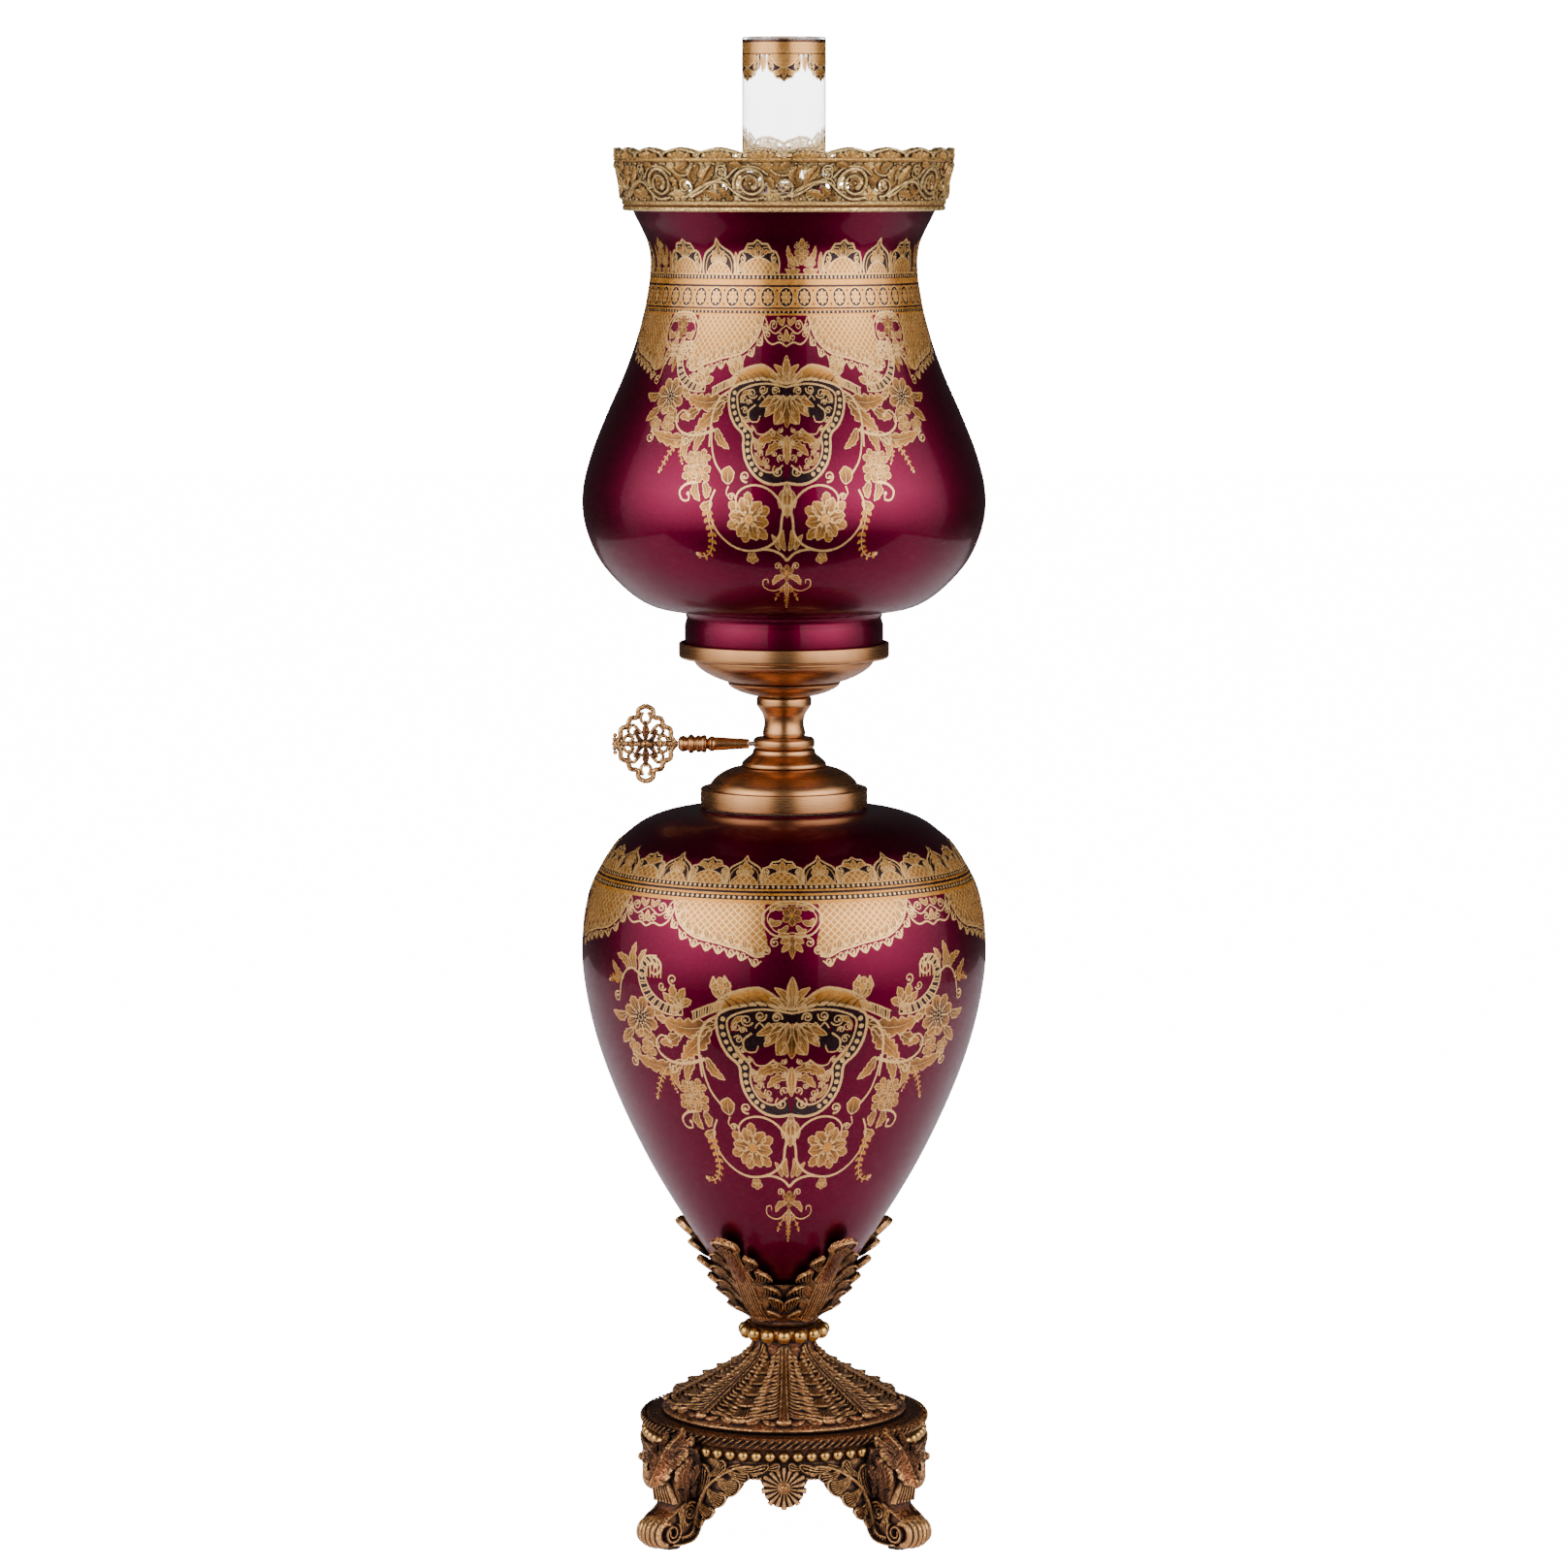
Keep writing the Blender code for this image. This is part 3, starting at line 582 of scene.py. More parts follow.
# Spun and turned metal: outlines as (radius, height, corner radius) in millimetres
copperParts = {
    "capBaseRing": [(8.8, 374.8), (40.7, 374.8), (40.7, 371.9), (42.5, 371.9, 0.5), (42.5, 381.1, 0.7),
        (38.8, 381.1, 0.7), (38.8, 378), (8.8, 378)],
    "capDome": [(38.2, 378.3), (38.2, 381.4, 3), (36.6, 384.6, 3), (32.5, 388.3, 3), (27, 390.9, 3),
        (21.5, 392, 2), (8.8, 392), (8.8, 390.6), (21.2, 390.6), (26.4, 389.5, 3), (31.6, 387.1, 3),
        (35.4, 383.8, 2), (36.9, 380.7), (36.9, 378.3)],
    "capStep": [(8.8, 392.3), (21.6, 392.3), (21.5, 394.2, 1.5), (18.6, 396.6, 2), (16, 398.6, 2),
        (15.7, 400.8), (8.8, 400.8)],
    "spindleCollar": [(8.8, 401.1), (14.7, 401.1, 0.3), (15.7, 402.4, 1), (15.7, 405.4, 1),
        (14.7, 406.7, 0.3), (8.8, 406.7)],
    "neckSpool": [(8.8, 407), (10.6, 407, 0.4), (11, 409.4, 1.2), (10.4, 411.4, 0.5), (9.9, 414.6, 3),
        (10.7, 418.6, 3), (13, 422, 2), (14, 423.4, 0.6), (14, 427, 1.2), (13.2, 427.6, 0.3), (8.8, 427.6)],
    "lowerDish": [(8.8, 427.9), (14.8, 428.1, 2), (22, 430, 4), (27.6, 432.8, 2.5), (28.8, 435, 0.5),
        (8.8, 435)],
    "upperDish": [(8.8, 435.3), (29.6, 435.5, 3), (38, 438.8, 4), (44, 442.9, 3), (45.9, 445.8, 1),
        (46, 447.2), (44.5, 447.2), (42.6, 444, 2), (37.2, 440.3, 3), (29.4, 437, 2), (8.8, 436.8)],
    "shadeHolder": [(8.8, 447.5), (52.5, 447.5, 0.8), (53.5, 448.5, 0.9), (53.5, 455.4, 0.7),
        (51.6, 455.4, 0.7), (51.6, 449.2), (8.8, 449.2)],
}
brassParts = {
    "oilFont": [(0, 285), (28, 285, 3), (34, 291, 4), (34, 372.9, 0.2), (40, 372.9), (40, 374.2),
        (21, 374.2), (21, 372.9), (32.6, 372.9), (32.6, 291.6, 3), (27.4, 286.4, 2), (0, 286.4)],
    "burnerBase": [(8.8, 454.5), (16, 454.5), (18, 456.2, 1.2), (16, 458), (8.8, 458)],
}


def buildTurnedParts(parts, finish):
    for name, outline in parts.items():
        node = "".join("_" + letter.lower() if letter.isupper() else letter for letter in name)
        piece = turnOutline(name, roundedOutline(outline), 112)
        settle(piece, "font" if name == "oilFont" else "burner_unit", finish, [node])


buildTurnedParts(copperParts, "copper")
buildTurnedParts(brassParts, "brass")
print("turned metal ready")

# gold foil ornament
# Drawn flat: x is the angle round the lamp times 100, s the distance along the glass outline in mm.


# collects flat ornament: points with a lift off the surface, faces, and a gold tone for each point
class Sheet:

    def __init__(self):
        self.points, self.faces, self.tones, self.nets = [], [], [], []

    def add(self, points, faces, tones, lift, net=0):
        start = len(self.points)
        for (x, s), tone in zip(points, tones):
            self.points.append((x, s, lift))
            self.tones.append(tone)
            self.nets.append(net)
        self.faces += [tuple(start + index for index in face) for face in faces]

    def merge(self, other, change, flip=False):
        start = len(self.points)
        self.points += [(*change(x, s), lift) for x, s, lift in other.points]
        self.tones += other.tones
        self.nets += other.nets
        faces = [tuple(start + index for index in face) for face in other.faces]
        self.faces += [face[::-1] for face in faces] if flip else faces


liftGround, liftFill, liftLine, liftTop = 0.05, 0.10, 0.16, 0.22


# left and right edges of a ribbon along a smooth path
def rail(path, widths):
    run = lineRun(path)
    side = np.stack([-run[:, 1], run[:, 0]], axis=1) * np.asarray(widths)[:, None] / 2
    return path + side, path - side


def ribbon(sheet, points, width, widthEnd=None, tone=1, toneEnd=None, lift=liftLine, step=1.6):
    path = smoothLine(points, step) if len(points) > 2 else np.linspace(points[0], points[-1], 5)
    t = np.linspace(0, 1, len(path))
    widths = width + ((width if widthEnd is None else widthEnd) - width) * t
    left, right = rail(path, widths)
    count = len(path)
    tones = tone + ((tone if toneEnd is None else toneEnd) - tone) * t
    faces = [(i, i + 1, count + i + 1, count + i) for i in range(count - 1)]
    sheet.add([tuple(p) for p in np.vstack([left, right])], faces, list(tones) * 2, lift)


def disc(sheet, centre, radius, tone=1, lift=liftTop, sides=8):
    ring = [polar(centre, radius, a) for a in np.arange(sides) * wholeTurn / sides]
    sheet.add(ring, [tuple(range(sides))[::-1]], [tone] * sides, lift)


# a spiral ribbon that winds in from its start angle (degrees) to a small ball
def curl(sheet, centre, radius, start, turns, width=0.8, tone=1, lift=liftLine, inner=0.28):
    count = max(8, int(abs(turns) * 18))
    t = np.linspace(0, 1, count)
    angle = math.radians(start) + turns * wholeTurn * t
    reach = radius * (1 - (1 - inner) * t ** 0.85)
    path = np.stack([centre[0] + reach * np.cos(angle), centre[1] + reach * np.sin(angle)], axis=1)
    ribbon(sheet, path, width, width * 0.55, tone=tone, lift=lift, step=99)
    disc(sheet, path[-1], width * 0.95, tone, lift)


# a lobed leaf along its midrib: dark towards the base, bright outline and midrib
def leaf(sheet, points, width, lobes=3, depth=0.4, toneBase=0.15, toneTip=0.95, line=0.5, lift=liftFill):
    path = smoothLine(points, 1) if len(points) > 2 else np.linspace(points[0], points[-1], 14)
    if len(path) < 14:
        path = smoothLine(path, 0.45)
    count = len(path)
    t = np.linspace(0, 1, count)
    spread = width / 2 * np.sin(math.pi * np.clip(t, 0, 1) ** 0.75) ** 0.8
    saw = (t * lobes) % 1 if lobes > 1 else np.zeros(count)
    spread = spread * (1 - depth * saw ** 1.5) + 0.05
    run = lineRun(path)
    side = np.stack([-run[:, 1], run[:, 0]], axis=1) * spread[:, None]
    lean = run * spread[:, None] * 0.35
    left, right = path + side + lean, path - side + lean
    rows = [left, path + (side + lean) * 0.5, path, path + (lean - side) * 0.5, right]
    tones = []
    for share in (1, 0.55, 0, 0.55, 1):
        tones += list(0.74 * (toneBase + (toneTip - toneBase) * np.clip(0.2 * share + t
            * (0.5 + 0.5 * share), 0, 1)))
    faces = [(r * count + i, r * count + i + 1, (r + 1) * count + i + 1,
        (r + 1) * count + i) for r in range(4) for i in range(count - 1)]
    sheet.add([tuple(p) for p in np.vstack(rows)], faces, tones, lift)
    if line:
        for edge in (left, right):
            ribbon(sheet, edge, line, lift=lift + 0.06, step=99)
        ribbon(sheet, path[: int(count * 0.9)], line * 0.8, line * 0.4, tone=0.95, lift=lift + 0.06, step=99)


# an open flower: shaded petals with bright outlines, veins and a beaded heart
def bloom(sheet, centre, radius, petals=5, turn=90, notch=0.25, toneHeart=0.15, tonePetal=0.95, line=0.4,
        squash=1, lift=liftFill):
    for index in range(petals):
        base = math.radians(turn) + index * wholeTurn / petals
        root, tip = (polar(centre, reach, base, squash=squash) for reach in (radius * 0.12, radius))
        leaf(sheet, [root, tip], radius * 2.5 / petals * 1.5, 2, notch, toneHeart, tonePetal, line, lift)
    disc(sheet, centre, radius * 0.24, 0.75, lift + 0.08, 10)
    for index in range(6):
        angle = index * wholeTurn / 6
        disc(sheet, polar(centre, radius * 0.34, angle, squash=squash), max(0.35, radius * 0.07), 1,
            lift + 0.1, 6)


# a filled area between two lines that have the same number of points
def fillBetween(sheet, left, right, columns, toneLeft, toneRight, lift=liftGround, net=0):
    left, right = np.array(left, float), np.array(right, float)
    count = len(left)
    points, tones = [], []
    for column in range(columns + 1):
        share = column / columns
        points += [tuple(p) for p in left + (right - left) * share]
        tones += [toneLeft + (toneRight - toneLeft) * share] * count
    faces = [(c * count + i, c * count + i + 1, (c + 1) * count + i + 1,
        (c + 1) * count + i) for c in range(columns) for i in range(count - 1)]
    sheet.add(points, faces, tones, lift, net)


# a stalk with pairs of small leaves and an end bud
def sprig(sheet, points, leafSize, pairs, width=0.7):
    ribbon(sheet, points, width, width * 0.6)
    path = smoothLine(points, 0.8)
    for index in range(pairs):
        at = int((index + 0.6) / pairs * (len(path) - 2))
        run = path[at + 1] - path[at]
        heading = math.atan2(run[1], run[0])
        size = leafSize * (1 - 0.45 * index / pairs)
        for side in (-1, 1):
            angle = heading + side * 0.95
            leaf(sheet, [tuple(path[at]), polar(path[at], size, angle)], size * 0.55, 1, 0, 0.75, 1, 0,
                liftLine)
    disc(sheet, path[-1], leafSize * 0.3)


# two rails with rungs on a dark ground
def ladder(sheet, upper, lower, rungs, width=0.9):
    top, bottom = smoothLine(upper, 1.2), smoothLine(lower, 1.2)
    share = np.linspace(0, 1, 40)
    rails = []
    for line in (top, bottom):
        spots = share * (len(line) - 1)
        rails.append(np.stack([np.interp(spots, np.arange(len(line)), line[:, axis]) for axis in (0, 1)],
            axis=1))
    fillBetween(sheet, rails[0], rails[1], 2, 0, 0)
    for index in range(rungs):
        at = int((index + 0.5) / rungs * 39)
        ribbon(sheet, [tuple(rails[0][at]), tuple(rails[1][at])], 0.75, tone=0.95, step=9)
    ribbon(sheet, upper, width)
    ribbon(sheet, lower, width)


# the right half of the big front ornament, on the vase's measures, with its axis at x = 0
def drawCartouche():
    half = Sheet()
    # shield: dark ground, double outline and a row of pearls
    outer = [(0, 187.5), (14, 190), (27, 188.5), (36.5, 184.5), (38, 178), (36.6, 170), (33, 163),
        (27.6, 157.5), (27, 150), (25.6, 143), (21.5, 136), (15.5, 131), (8, 129), (0, 130)]
    inner = [(0, 185.5), (13, 187.4), (24, 186), (31.6, 182.2), (32.2, 176.5), (29.8, 168.5), (24.6, 161.5),
        (21.5, 157), (22, 150), (20.6, 144), (17, 138.6), (12, 136), (7, 136.4), (2.5, 140)]
    smoothOuter = smoothLine(outer, 2)
    smoothInner = smoothLine(inner, 0.5)
    smoothInner = smoothInner[np.linspace(0, len(smoothInner) - 1, len(smoothOuter)).astype(int)]
    fillBetween(half, smoothInner, smoothOuter, 1, 0.02, 0)
    upper = [p for p in smoothInner if p[1] > 163 and p[0] < 31.9]
    fillBetween(half, [(0, s) for s in np.linspace(185.5, 172, len(upper))], upper, 6, 0.02, 0,
        liftGround - 0.01)
    ribbon(half, outer, 1.5)
    ribbon(half, inner, 1.1)
    middle = smoothLine([((a[0] + b[0]) / 2, (a[1] + b[1]) / 2) for a, b in zip(outer[3:12], inner[3:12])],
        0.5)
    length = lineMeasure(middle)[0]
    for at in np.arange(1.5, length[-1], 4.1):
        disc(half, (np.interp(at, length, middle[:, 0]), np.interp(at, length, middle[:, 1])), 1.35)
    curl(half, (5.5, 136.5), 3.6, 60, -1.35, 0.9)
    curl(half, (3.6, 143.8), 2.6, 300, 1.2)
    # palmette at the top and the long acanthus wing
    for parts in (([(0, 188), (0.4, 196), (0, 204)], 4.6, 1, 0, 0.4, 1),
            ([(1.5, 190), (4, 195), (8.5, 198.5)], 3.4, 1, 0, 0.3, 1),
            ([(2, 188.5), (6, 191.5), (11, 193)], 3, 1, 0, 0.2)):
        leaf(half, *parts)
    wingTop = smoothLine([(3, 187), (8, 194), (16, 198.5), (26, 197), (33, 194), (40, 188)], 2)
    wingLow = smoothLine([(3, 186), (9, 188.5), (17, 191), (25, 188.5), (31, 187), (36, 184.5)], 2)
    count = min(len(wingTop), len(wingLow))
    pick = lambda line: line[np.linspace(0, len(line) - 1, count).astype(int)]
    wingTop, wingLow = pick(wingTop), pick(wingLow)
    for row in range(4):
        a, b = row / 4, (row + 1) / 4
        fillBetween(half, wingTop + (wingLow - wingTop) * a, wingTop + (wingLow - wingTop) * b, 1,
            0.95 - 0.18 * row, 0.95 - 0.18 * (row + 1), liftFill)
    ribbon(half, wingTop, 0.8, step=99)
    ribbon(half, wingLow, 0.7, step=99)
    for index in range(6):
        x = 7 + index * 4.6
        ribbon(half, [(x, 189.5 - 0.2 * index), (x + 3.4, 192), (x + 6.8, 195.8 - 0.9 * index)], 0.9, 0.2,
            0.05, 0.3)
    # bud that stands on the wing
    bloom(half, (34.5, 198), 5.2, 5, 80, 0.25, 0.3, 1)
    leaf(half, [(33, 192), (31.5, 197), (33, 204)], 4.2, 2, 0.4, 0.2)
    leaf(half, [(34.5, 192), (38, 197), (38.5, 203.5)], 4.4, 2, 0.4, 0.2)
    # ladder ribbons out to the hatched scroll
    ladder(half, [(33, 191.5), (42, 188.5), (51, 184.5)], [(35, 187), (43, 183.5), (51, 179.5)], 12)
    ladder(half, [(56, 187), (64, 187.5), (70, 190), (75, 195), (77.5, 202), (74, 207.5), (68.5, 207)],
        [(56, 182.5), (65, 182.5), (73, 185.5), (79, 191.5), (81.8, 201), (78, 210), (70, 211.5)], 26)
    curl(half, (71.5, 205.5), 5.2, 80, 1.2, 1.3)
    for index in range(5):
        ribbon(half, [(67.5 + index * 2.2, 200.5), (67.2 + index * 2.2, 207.5)], 0.8, tone=0.9, step=9)
    # leaf cluster in the middle of the ladders
    for tip, size in (((61, 198), 6), ((54, 196.5), 5.4), ((66.5, 193.5), 5), ((50.5, 190.5), 5),
            ((63, 184), 4.6)):
        leaf(half, [(56.5, 186.5), ((56.5 + tip[0]) / 2 + 1.4, (186.5 + tip[1]) / 2), tip], size)
    curl(half, (60.5, 200.5), 3.2, 250, 1.1, 0.9)
    curl(half, (67, 196.5), 2.6, 200, 1.1)
    # far tendril, its buds and sprig
    ribbon(half, [(79, 200), (86, 204), (91, 202), (95, 196), (97, 189)], 1.3, 0.7)
    for points, size in (([(84, 203), (86, 210), (84, 217)], 5), ([(88, 203), (92, 208), (98, 210)], 4.4),
            ([(93, 198), (98, 201), (102, 206)], 4), ([(80, 204), (80, 210), (77, 214)], 3.6)):
        leaf(half, points, size, 3, 0.4, 0.25)
    sprig(half, [(96, 196), (100, 198), (105, 196)], 3.2, 4)
    curl(half, (99, 188), 3, 120, -1.2, 0.9)
    # dark-hearted side flower with leaves round it
    for index in range(8):
        angle = math.radians(20 + index * 45)
        leaf(half, [polar((83, 179), 3, angle), polar((83, 179), 11.5, angle)], 7.4, 3, 0.35, 0, 0.85, 0.45)
    disc(half, (83, 179), 3.8, 0, liftTop, 12)
    for index in range(9):
        angle = index * wholeTurn / 9
        disc(half, polar((83, 179), 3.1, angle), 0.6, 1, liftTop + 0.05, 6)
        disc(half, polar((83, 179), 1.5, angle * 2), 0.4, 1, liftTop + 0.05, 6)
    for points, size in (([(90, 172), (96, 168), (101, 164)], 6), ([(93, 180), (99, 178), (105, 180)], 5.4),
            ([(72, 186), (70, 181), (66, 179)], 5)):
        leaf(half, points, size, 4, 0.4, 0.1)
    # acanthus that leaves the shield's shoulder, and its stems
    for parts in (([(38, 179), (50, 176), (60, 176.5), (72, 181)], 11, 6, 0.5, 0.1, 0.95, 0.6),
            ([(41, 177), (48, 169), (55, 163), (60, 158)], 10, 6, 0.5, 0.1, 0.95, 0.6),
            ([(58, 172), (66, 168), (72, 167)], 7.5, 4, 0.45, 0.1)):
        leaf(half, *parts)
    ribbon(half, [(38, 183), (44, 179), (48, 171), (49, 160), (49, 150)], 1.6, 1)
    ribbon(half, [(46, 160), (56, 157), (66, 157), (73, 161), (74.5, 167), (70, 171), (65.5, 168)], 1.9, 0.9)
    disc(half, (65.6, 168), 1.4)
    leaf(half, [(58, 158), (70, 153.5), (84, 155), (95, 160)], 8.5, 6, 0.45, 0.1, 0.95, 0.55)
    leaf(half, [(73, 164), (80, 170), (88, 171)], 6.5, 4, 0.45, 0.1)
    bloom(half, (81, 162.5), 5.6, 5, 60, 0.25, 0.2, 1, 0.45)
    bloom(half, (91.5, 162), 4.8, 5, 10, 0.25, 0.2, 1, 0.45)
    curl(half, (95, 154.5), 3.6, 90, 1.25, 1.1)
    curl(half, (66, 153.5), 3, 60, -1.25, 1)
    sprig(half, [(71, 153), (77, 146), (84, 135)], 3, 6, 0.6)
    sprig(half, [(69, 152), (69, 146), (67, 140)], 2.2, 4, 0.5)
    # shell with scalloped top, and the scrolls round it
    for tip, size in (((0, 161.5), 6.6), ((7.6, 163.5), 6), ((14, 168), 5.4), ((17.6, 174), 4.6)):
        root = (tip[0] * 0.22, 180)
        leaf(half, [root, ((root[0] + tip[0]) / 2, (180 + tip[1]) / 2), tip], size, 1, 0, 0, 0.95, 0.55)
    for index in range(4):
        ribbon(half, [(index * 4.6, 178), (index * 4.6 + 2.3, 180.6), (index * 4.6 + 4.6, 177.6)], 0.8)
    for parts in (((7.5, 183.2), 2.8, 200, -1.4, 0.9), ((15.5, 184), 3, 160, 1.4, 0.9),
            ((22.5, 181.8), 3.4, 200, 1.4, 0.9), ((27.5, 178), 2.6, 100, -1.3)):
        curl(half, *parts)
    ribbon(half, [(20, 175), (24.5, 171), (23.5, 165.5), (18.5, 165), (17, 168.5)], 1.1, 0.7)
    ribbon(half, [(9, 161), (13.5, 157.8), (18.5, 158), (20.5, 161.5)], 1.1, 0.7)
    for parts in (((25.6, 166.5), 2.2, 180, 1.2), ((9, 158), 2.2, 40, 1.2), ((4.2, 160), 1.8, 120, 1.2, 0.7)):
        curl(half, *parts)
    for centre, size, start, turns in (((27, 171.5), 2.4, 20, 1.2), ((12.4, 172), 2.2, 300, -1.2),
            ((22.4, 160.6), 2, 90, 1.2), ((15.4, 150.8), 2, 10, 1.2), ((19.4, 153.4), 1.8, 220, -1.2),
            ((11.6, 138.6), 1.8, 330, 1.2), ((24.6, 176.4), 2, 200, -1.2), ((4.2, 152.6), 1.8, 100, 1.2)):
        curl(half, centre, size, start, turns)
    for points, size in (([(28.5, 168), (26.5, 163), (22, 160)], 2.6),
            ([(20.6, 156), (18.6, 150), (14.6, 147.6)], 2.4), ([(19.6, 147), (16.4, 141.6), (11, 139.6)],
            2.4), ([(30, 176), (28, 181), (23, 184)], 2.8), ([(4, 171), (3, 166), (6.4, 163.4)], 2.4)):
        leaf(half, points, size, 2, 0.3, 0.3, 0.95, 0.4)
    # winged leaf inside the shield
    for parts in (([(0, 157), (0.3, 149), (0, 140.5)], 4.2, 1, 0, 0.6, 1, 0.6),
            ([(1, 154), (8, 156.5), (15, 154), (20, 149)], 6.6, 5, 0.5, 0.2),
            ([(2, 151), (8, 150.5), (13, 145.5)], 5, 4, 0.5, 0.2)):
        leaf(half, *parts)
    for parts in (((12.5, 142.5), 2.4, 60, -1.3), ((17, 146), 2.2, 200, -1.2),
            ((7.5, 146.5), 1.8, 30, -1.2, 0.7)):
        curl(half, *parts)
    # pendant under the shield, and the round vines
    leaf(half, [(0, 130), (0.2, 120), (0, 111)], 5.4, 1, 0, 0.1, 1, 0.7)
    leaf(half, [(0.5, 127), (4, 122), (4.6, 116)], 3, 2, 0.3, 0.2, 0.9)
    ribbon(half, [(2, 112), (4, 119), (10, 125.5), (18, 128.6), (26, 127.4), (31, 123), (31.6, 116)], 1.5,
        0.9)
    ribbon(half, [(1.2, 118), (3.4, 110), (4.6, 102), (10, 96), (18, 92.8), (27, 92), (36, 94.5), (44, 101),
        (48.5, 110), (48, 119), (44.5, 126)], 1.6, 1.1)
    curl(half, (25.5, 133.6), 3.4, 250, 1.2, 1.2)
    curl(half, (34.5, 122), 2.6, 200, -1.2, 0.9)
    bloom(half, (24, 110), 12.5, 6, 70, 0.3, 0.1, 0.95, 0.6)
    for tip in ((24, 125), (36, 119), (38, 106), (28, 97), (13, 99), (11, 116)):
        root = (24 + (tip[0] - 24) * 0.45, 110 + (tip[1] - 110) * 0.45)
        leaf(half, [root, tip], 6.4, 3, 0.35, 0.2, 0.95, 0.5, liftGround + 0.02)
    # bud on its stem, hanging sprig and blossoms
    leaf(half, [(36, 129), (36.4, 134), (35.4, 139)], 8.5, 2, 0.2, 0.1, 0.95, 0.6)
    ribbon(half, [(40, 134.5), (45, 142), (47.5, 152), (48, 162)], 1.2, 0.8)
    ribbon(half, [(36, 128), (37.5, 124), (35, 121)], 0.9, 0.6)
    for centre, size, turn in (((53, 143.5), 5.4, 30), ((60, 142.5), 5, 70), ((53.5, 135.5), 6.6, 10),
            ((61.5, 134.5), 5.6, 50)):
        bloom(half, centre, size, 5, turn, 0.3, 0.15, 0.95, 0.45)
    ribbon(half, [(57, 130), (64, 128.5), (68.5, 124.5), (67, 120), (62.5, 120), (62.4, 123.5)], 1.5, 0.9)
    disc(half, (62.6, 123.4), 1.2)
    for parts in (([(52, 130), (50, 125.5), (51, 121)], 5.6, 3, 0.4, 0.1),
            ([(57, 130), (58, 124.5), (55, 119.5)], 5.6, 3, 0.4, 0.1),
            ([(45, 161), (42, 154), (36, 149)], 5.4, 4), ([(52, 160), (57, 153), (59, 146)], 5.4, 4),
            ([(60, 157), (66, 150), (65, 142)], 5.2, 4), ([(47, 119), (51.5, 116.5), (55, 116.5)], 5.4)):
        leaf(half, *parts)
    sprig(half, [(51, 116), (50, 108), (49.5, 99), (53, 91), (59, 88), (63, 89.5)], 4.4, 9, 0.8)
    # stem under the vines with its small leaves and flower
    ribbon(half, [(0, 86), (5, 90.5), (13, 92.8), (22, 92)], 1.7, 1.1)
    leaf(half, [(1.4, 92), (3.5, 98), (2.6, 104)], 3.4, 1, 0, 0.2, 1)
    leaf(half, [(5, 92.5), (7.5, 98), (10, 101.5)], 3, 1, 0, 0.2, 1)
    bloom(half, (24, 87.5), 4.2, 5, 270, 0.25, 0.2, 0.95, 0.4, 0.8)
    # bottom pendant
    bloom(half, (0, 78), 5.6, 6, 90, 0.25, 0.15, 0.95, 0.45)
    curl(half, (6.6, 82.6), 2.8, 220, -1.2, 0.9)
    leaf(half, [(2, 76), (8, 74), (11, 69.5)], 4.4)
    ribbon(half, [(1, 70), (7, 65.6), (13, 65), (18.6, 68), (18, 73), (14.6, 73.4), (14.6, 70.8)], 1, 0.6)
    leaf(half, [(0, 72), (0.2, 66), (0, 59)], 4.2, 3, 0.35, 0.3, 1)
    sprig(half, [(3, 67), (8, 61), (10, 57)], 2.6, 3, 0.6)
    sprig(half, [(0, 62), (0.4, 56), (0, 50)], 2.6, 4, 0.6)
    return half


# distance along an outline in mm against radius and height, from its lowest point
def glassLine(shape):
    line = smoothLine(shape["outer"], 2)
    along, slope = lineMeasure(line)
    return along, line, slope


# wrap a flat sheet round an outline: x turns round the lamp, s climbs the outline
def layOnGlass(name, sheet, shape, body):
    along, line, slope = glassLine(shape)
    flat = np.array(sheet.points)
    radius = np.interp(flat[:, 1], along, line[:, 0])
    height = np.interp(flat[:, 1], along, line[:, 1])
    dr = np.interp(flat[:, 1], along, slope[:, 0])
    dz = np.interp(flat[:, 1], along, slope[:, 1])
    radius, height = radius + dz * flat[:, 2], height - dr * flat[:, 2]
    turn = flat[:, 0] / 100
    points = np.stack([radius * np.sin(turn), -radius * np.cos(turn), height], axis=1) * mm
    mesh = bpy.data.meshes.new(name)
    mesh.from_pydata(points.tolist(), [], sheet.faces)
    tone = mesh.attributes.new("tone", "FLOAT", "POINT")
    tone.data.foreach_set("value", np.array(sheet.tones, np.float32))
    net = mesh.attributes.new("net", "FLOAT", "POINT")
    net.data.foreach_set("value", np.array(sheet.nets, np.float32))
    uvLayer = mesh.uv_layers.new(name="flat")
    corners = np.empty(len(mesh.loops), np.int32)
    mesh.loops.foreach_get("vertex_index", corners)
    uvLayer.data.foreach_set("uv", (flat[corners, :2] * 0.01).astype(np.float32).ravel())
    mesh.shade_smooth()
    piece = bpy.data.objects.new(name, mesh)
    sceneData.collection.objects.link(piece)
    faceOutwards(piece)
    return settle(piece, body, "foil")


# turn the faces of a thin sheet that look towards the lamp's axis
def faceOutwards(piece):
    shell = bmesh.new()
    shell.from_mesh(piece.data)
    shell.normal_update()
    wrong = [f for f in shell.faces if f.normal.x * f.calc_center_median().x + f.normal.y
        * f.calc_center_median().y < 0]
    bmesh.ops.reverse_faces(shell, faces=wrong)
    shell.to_mesh(piece.data)
    shell.free()


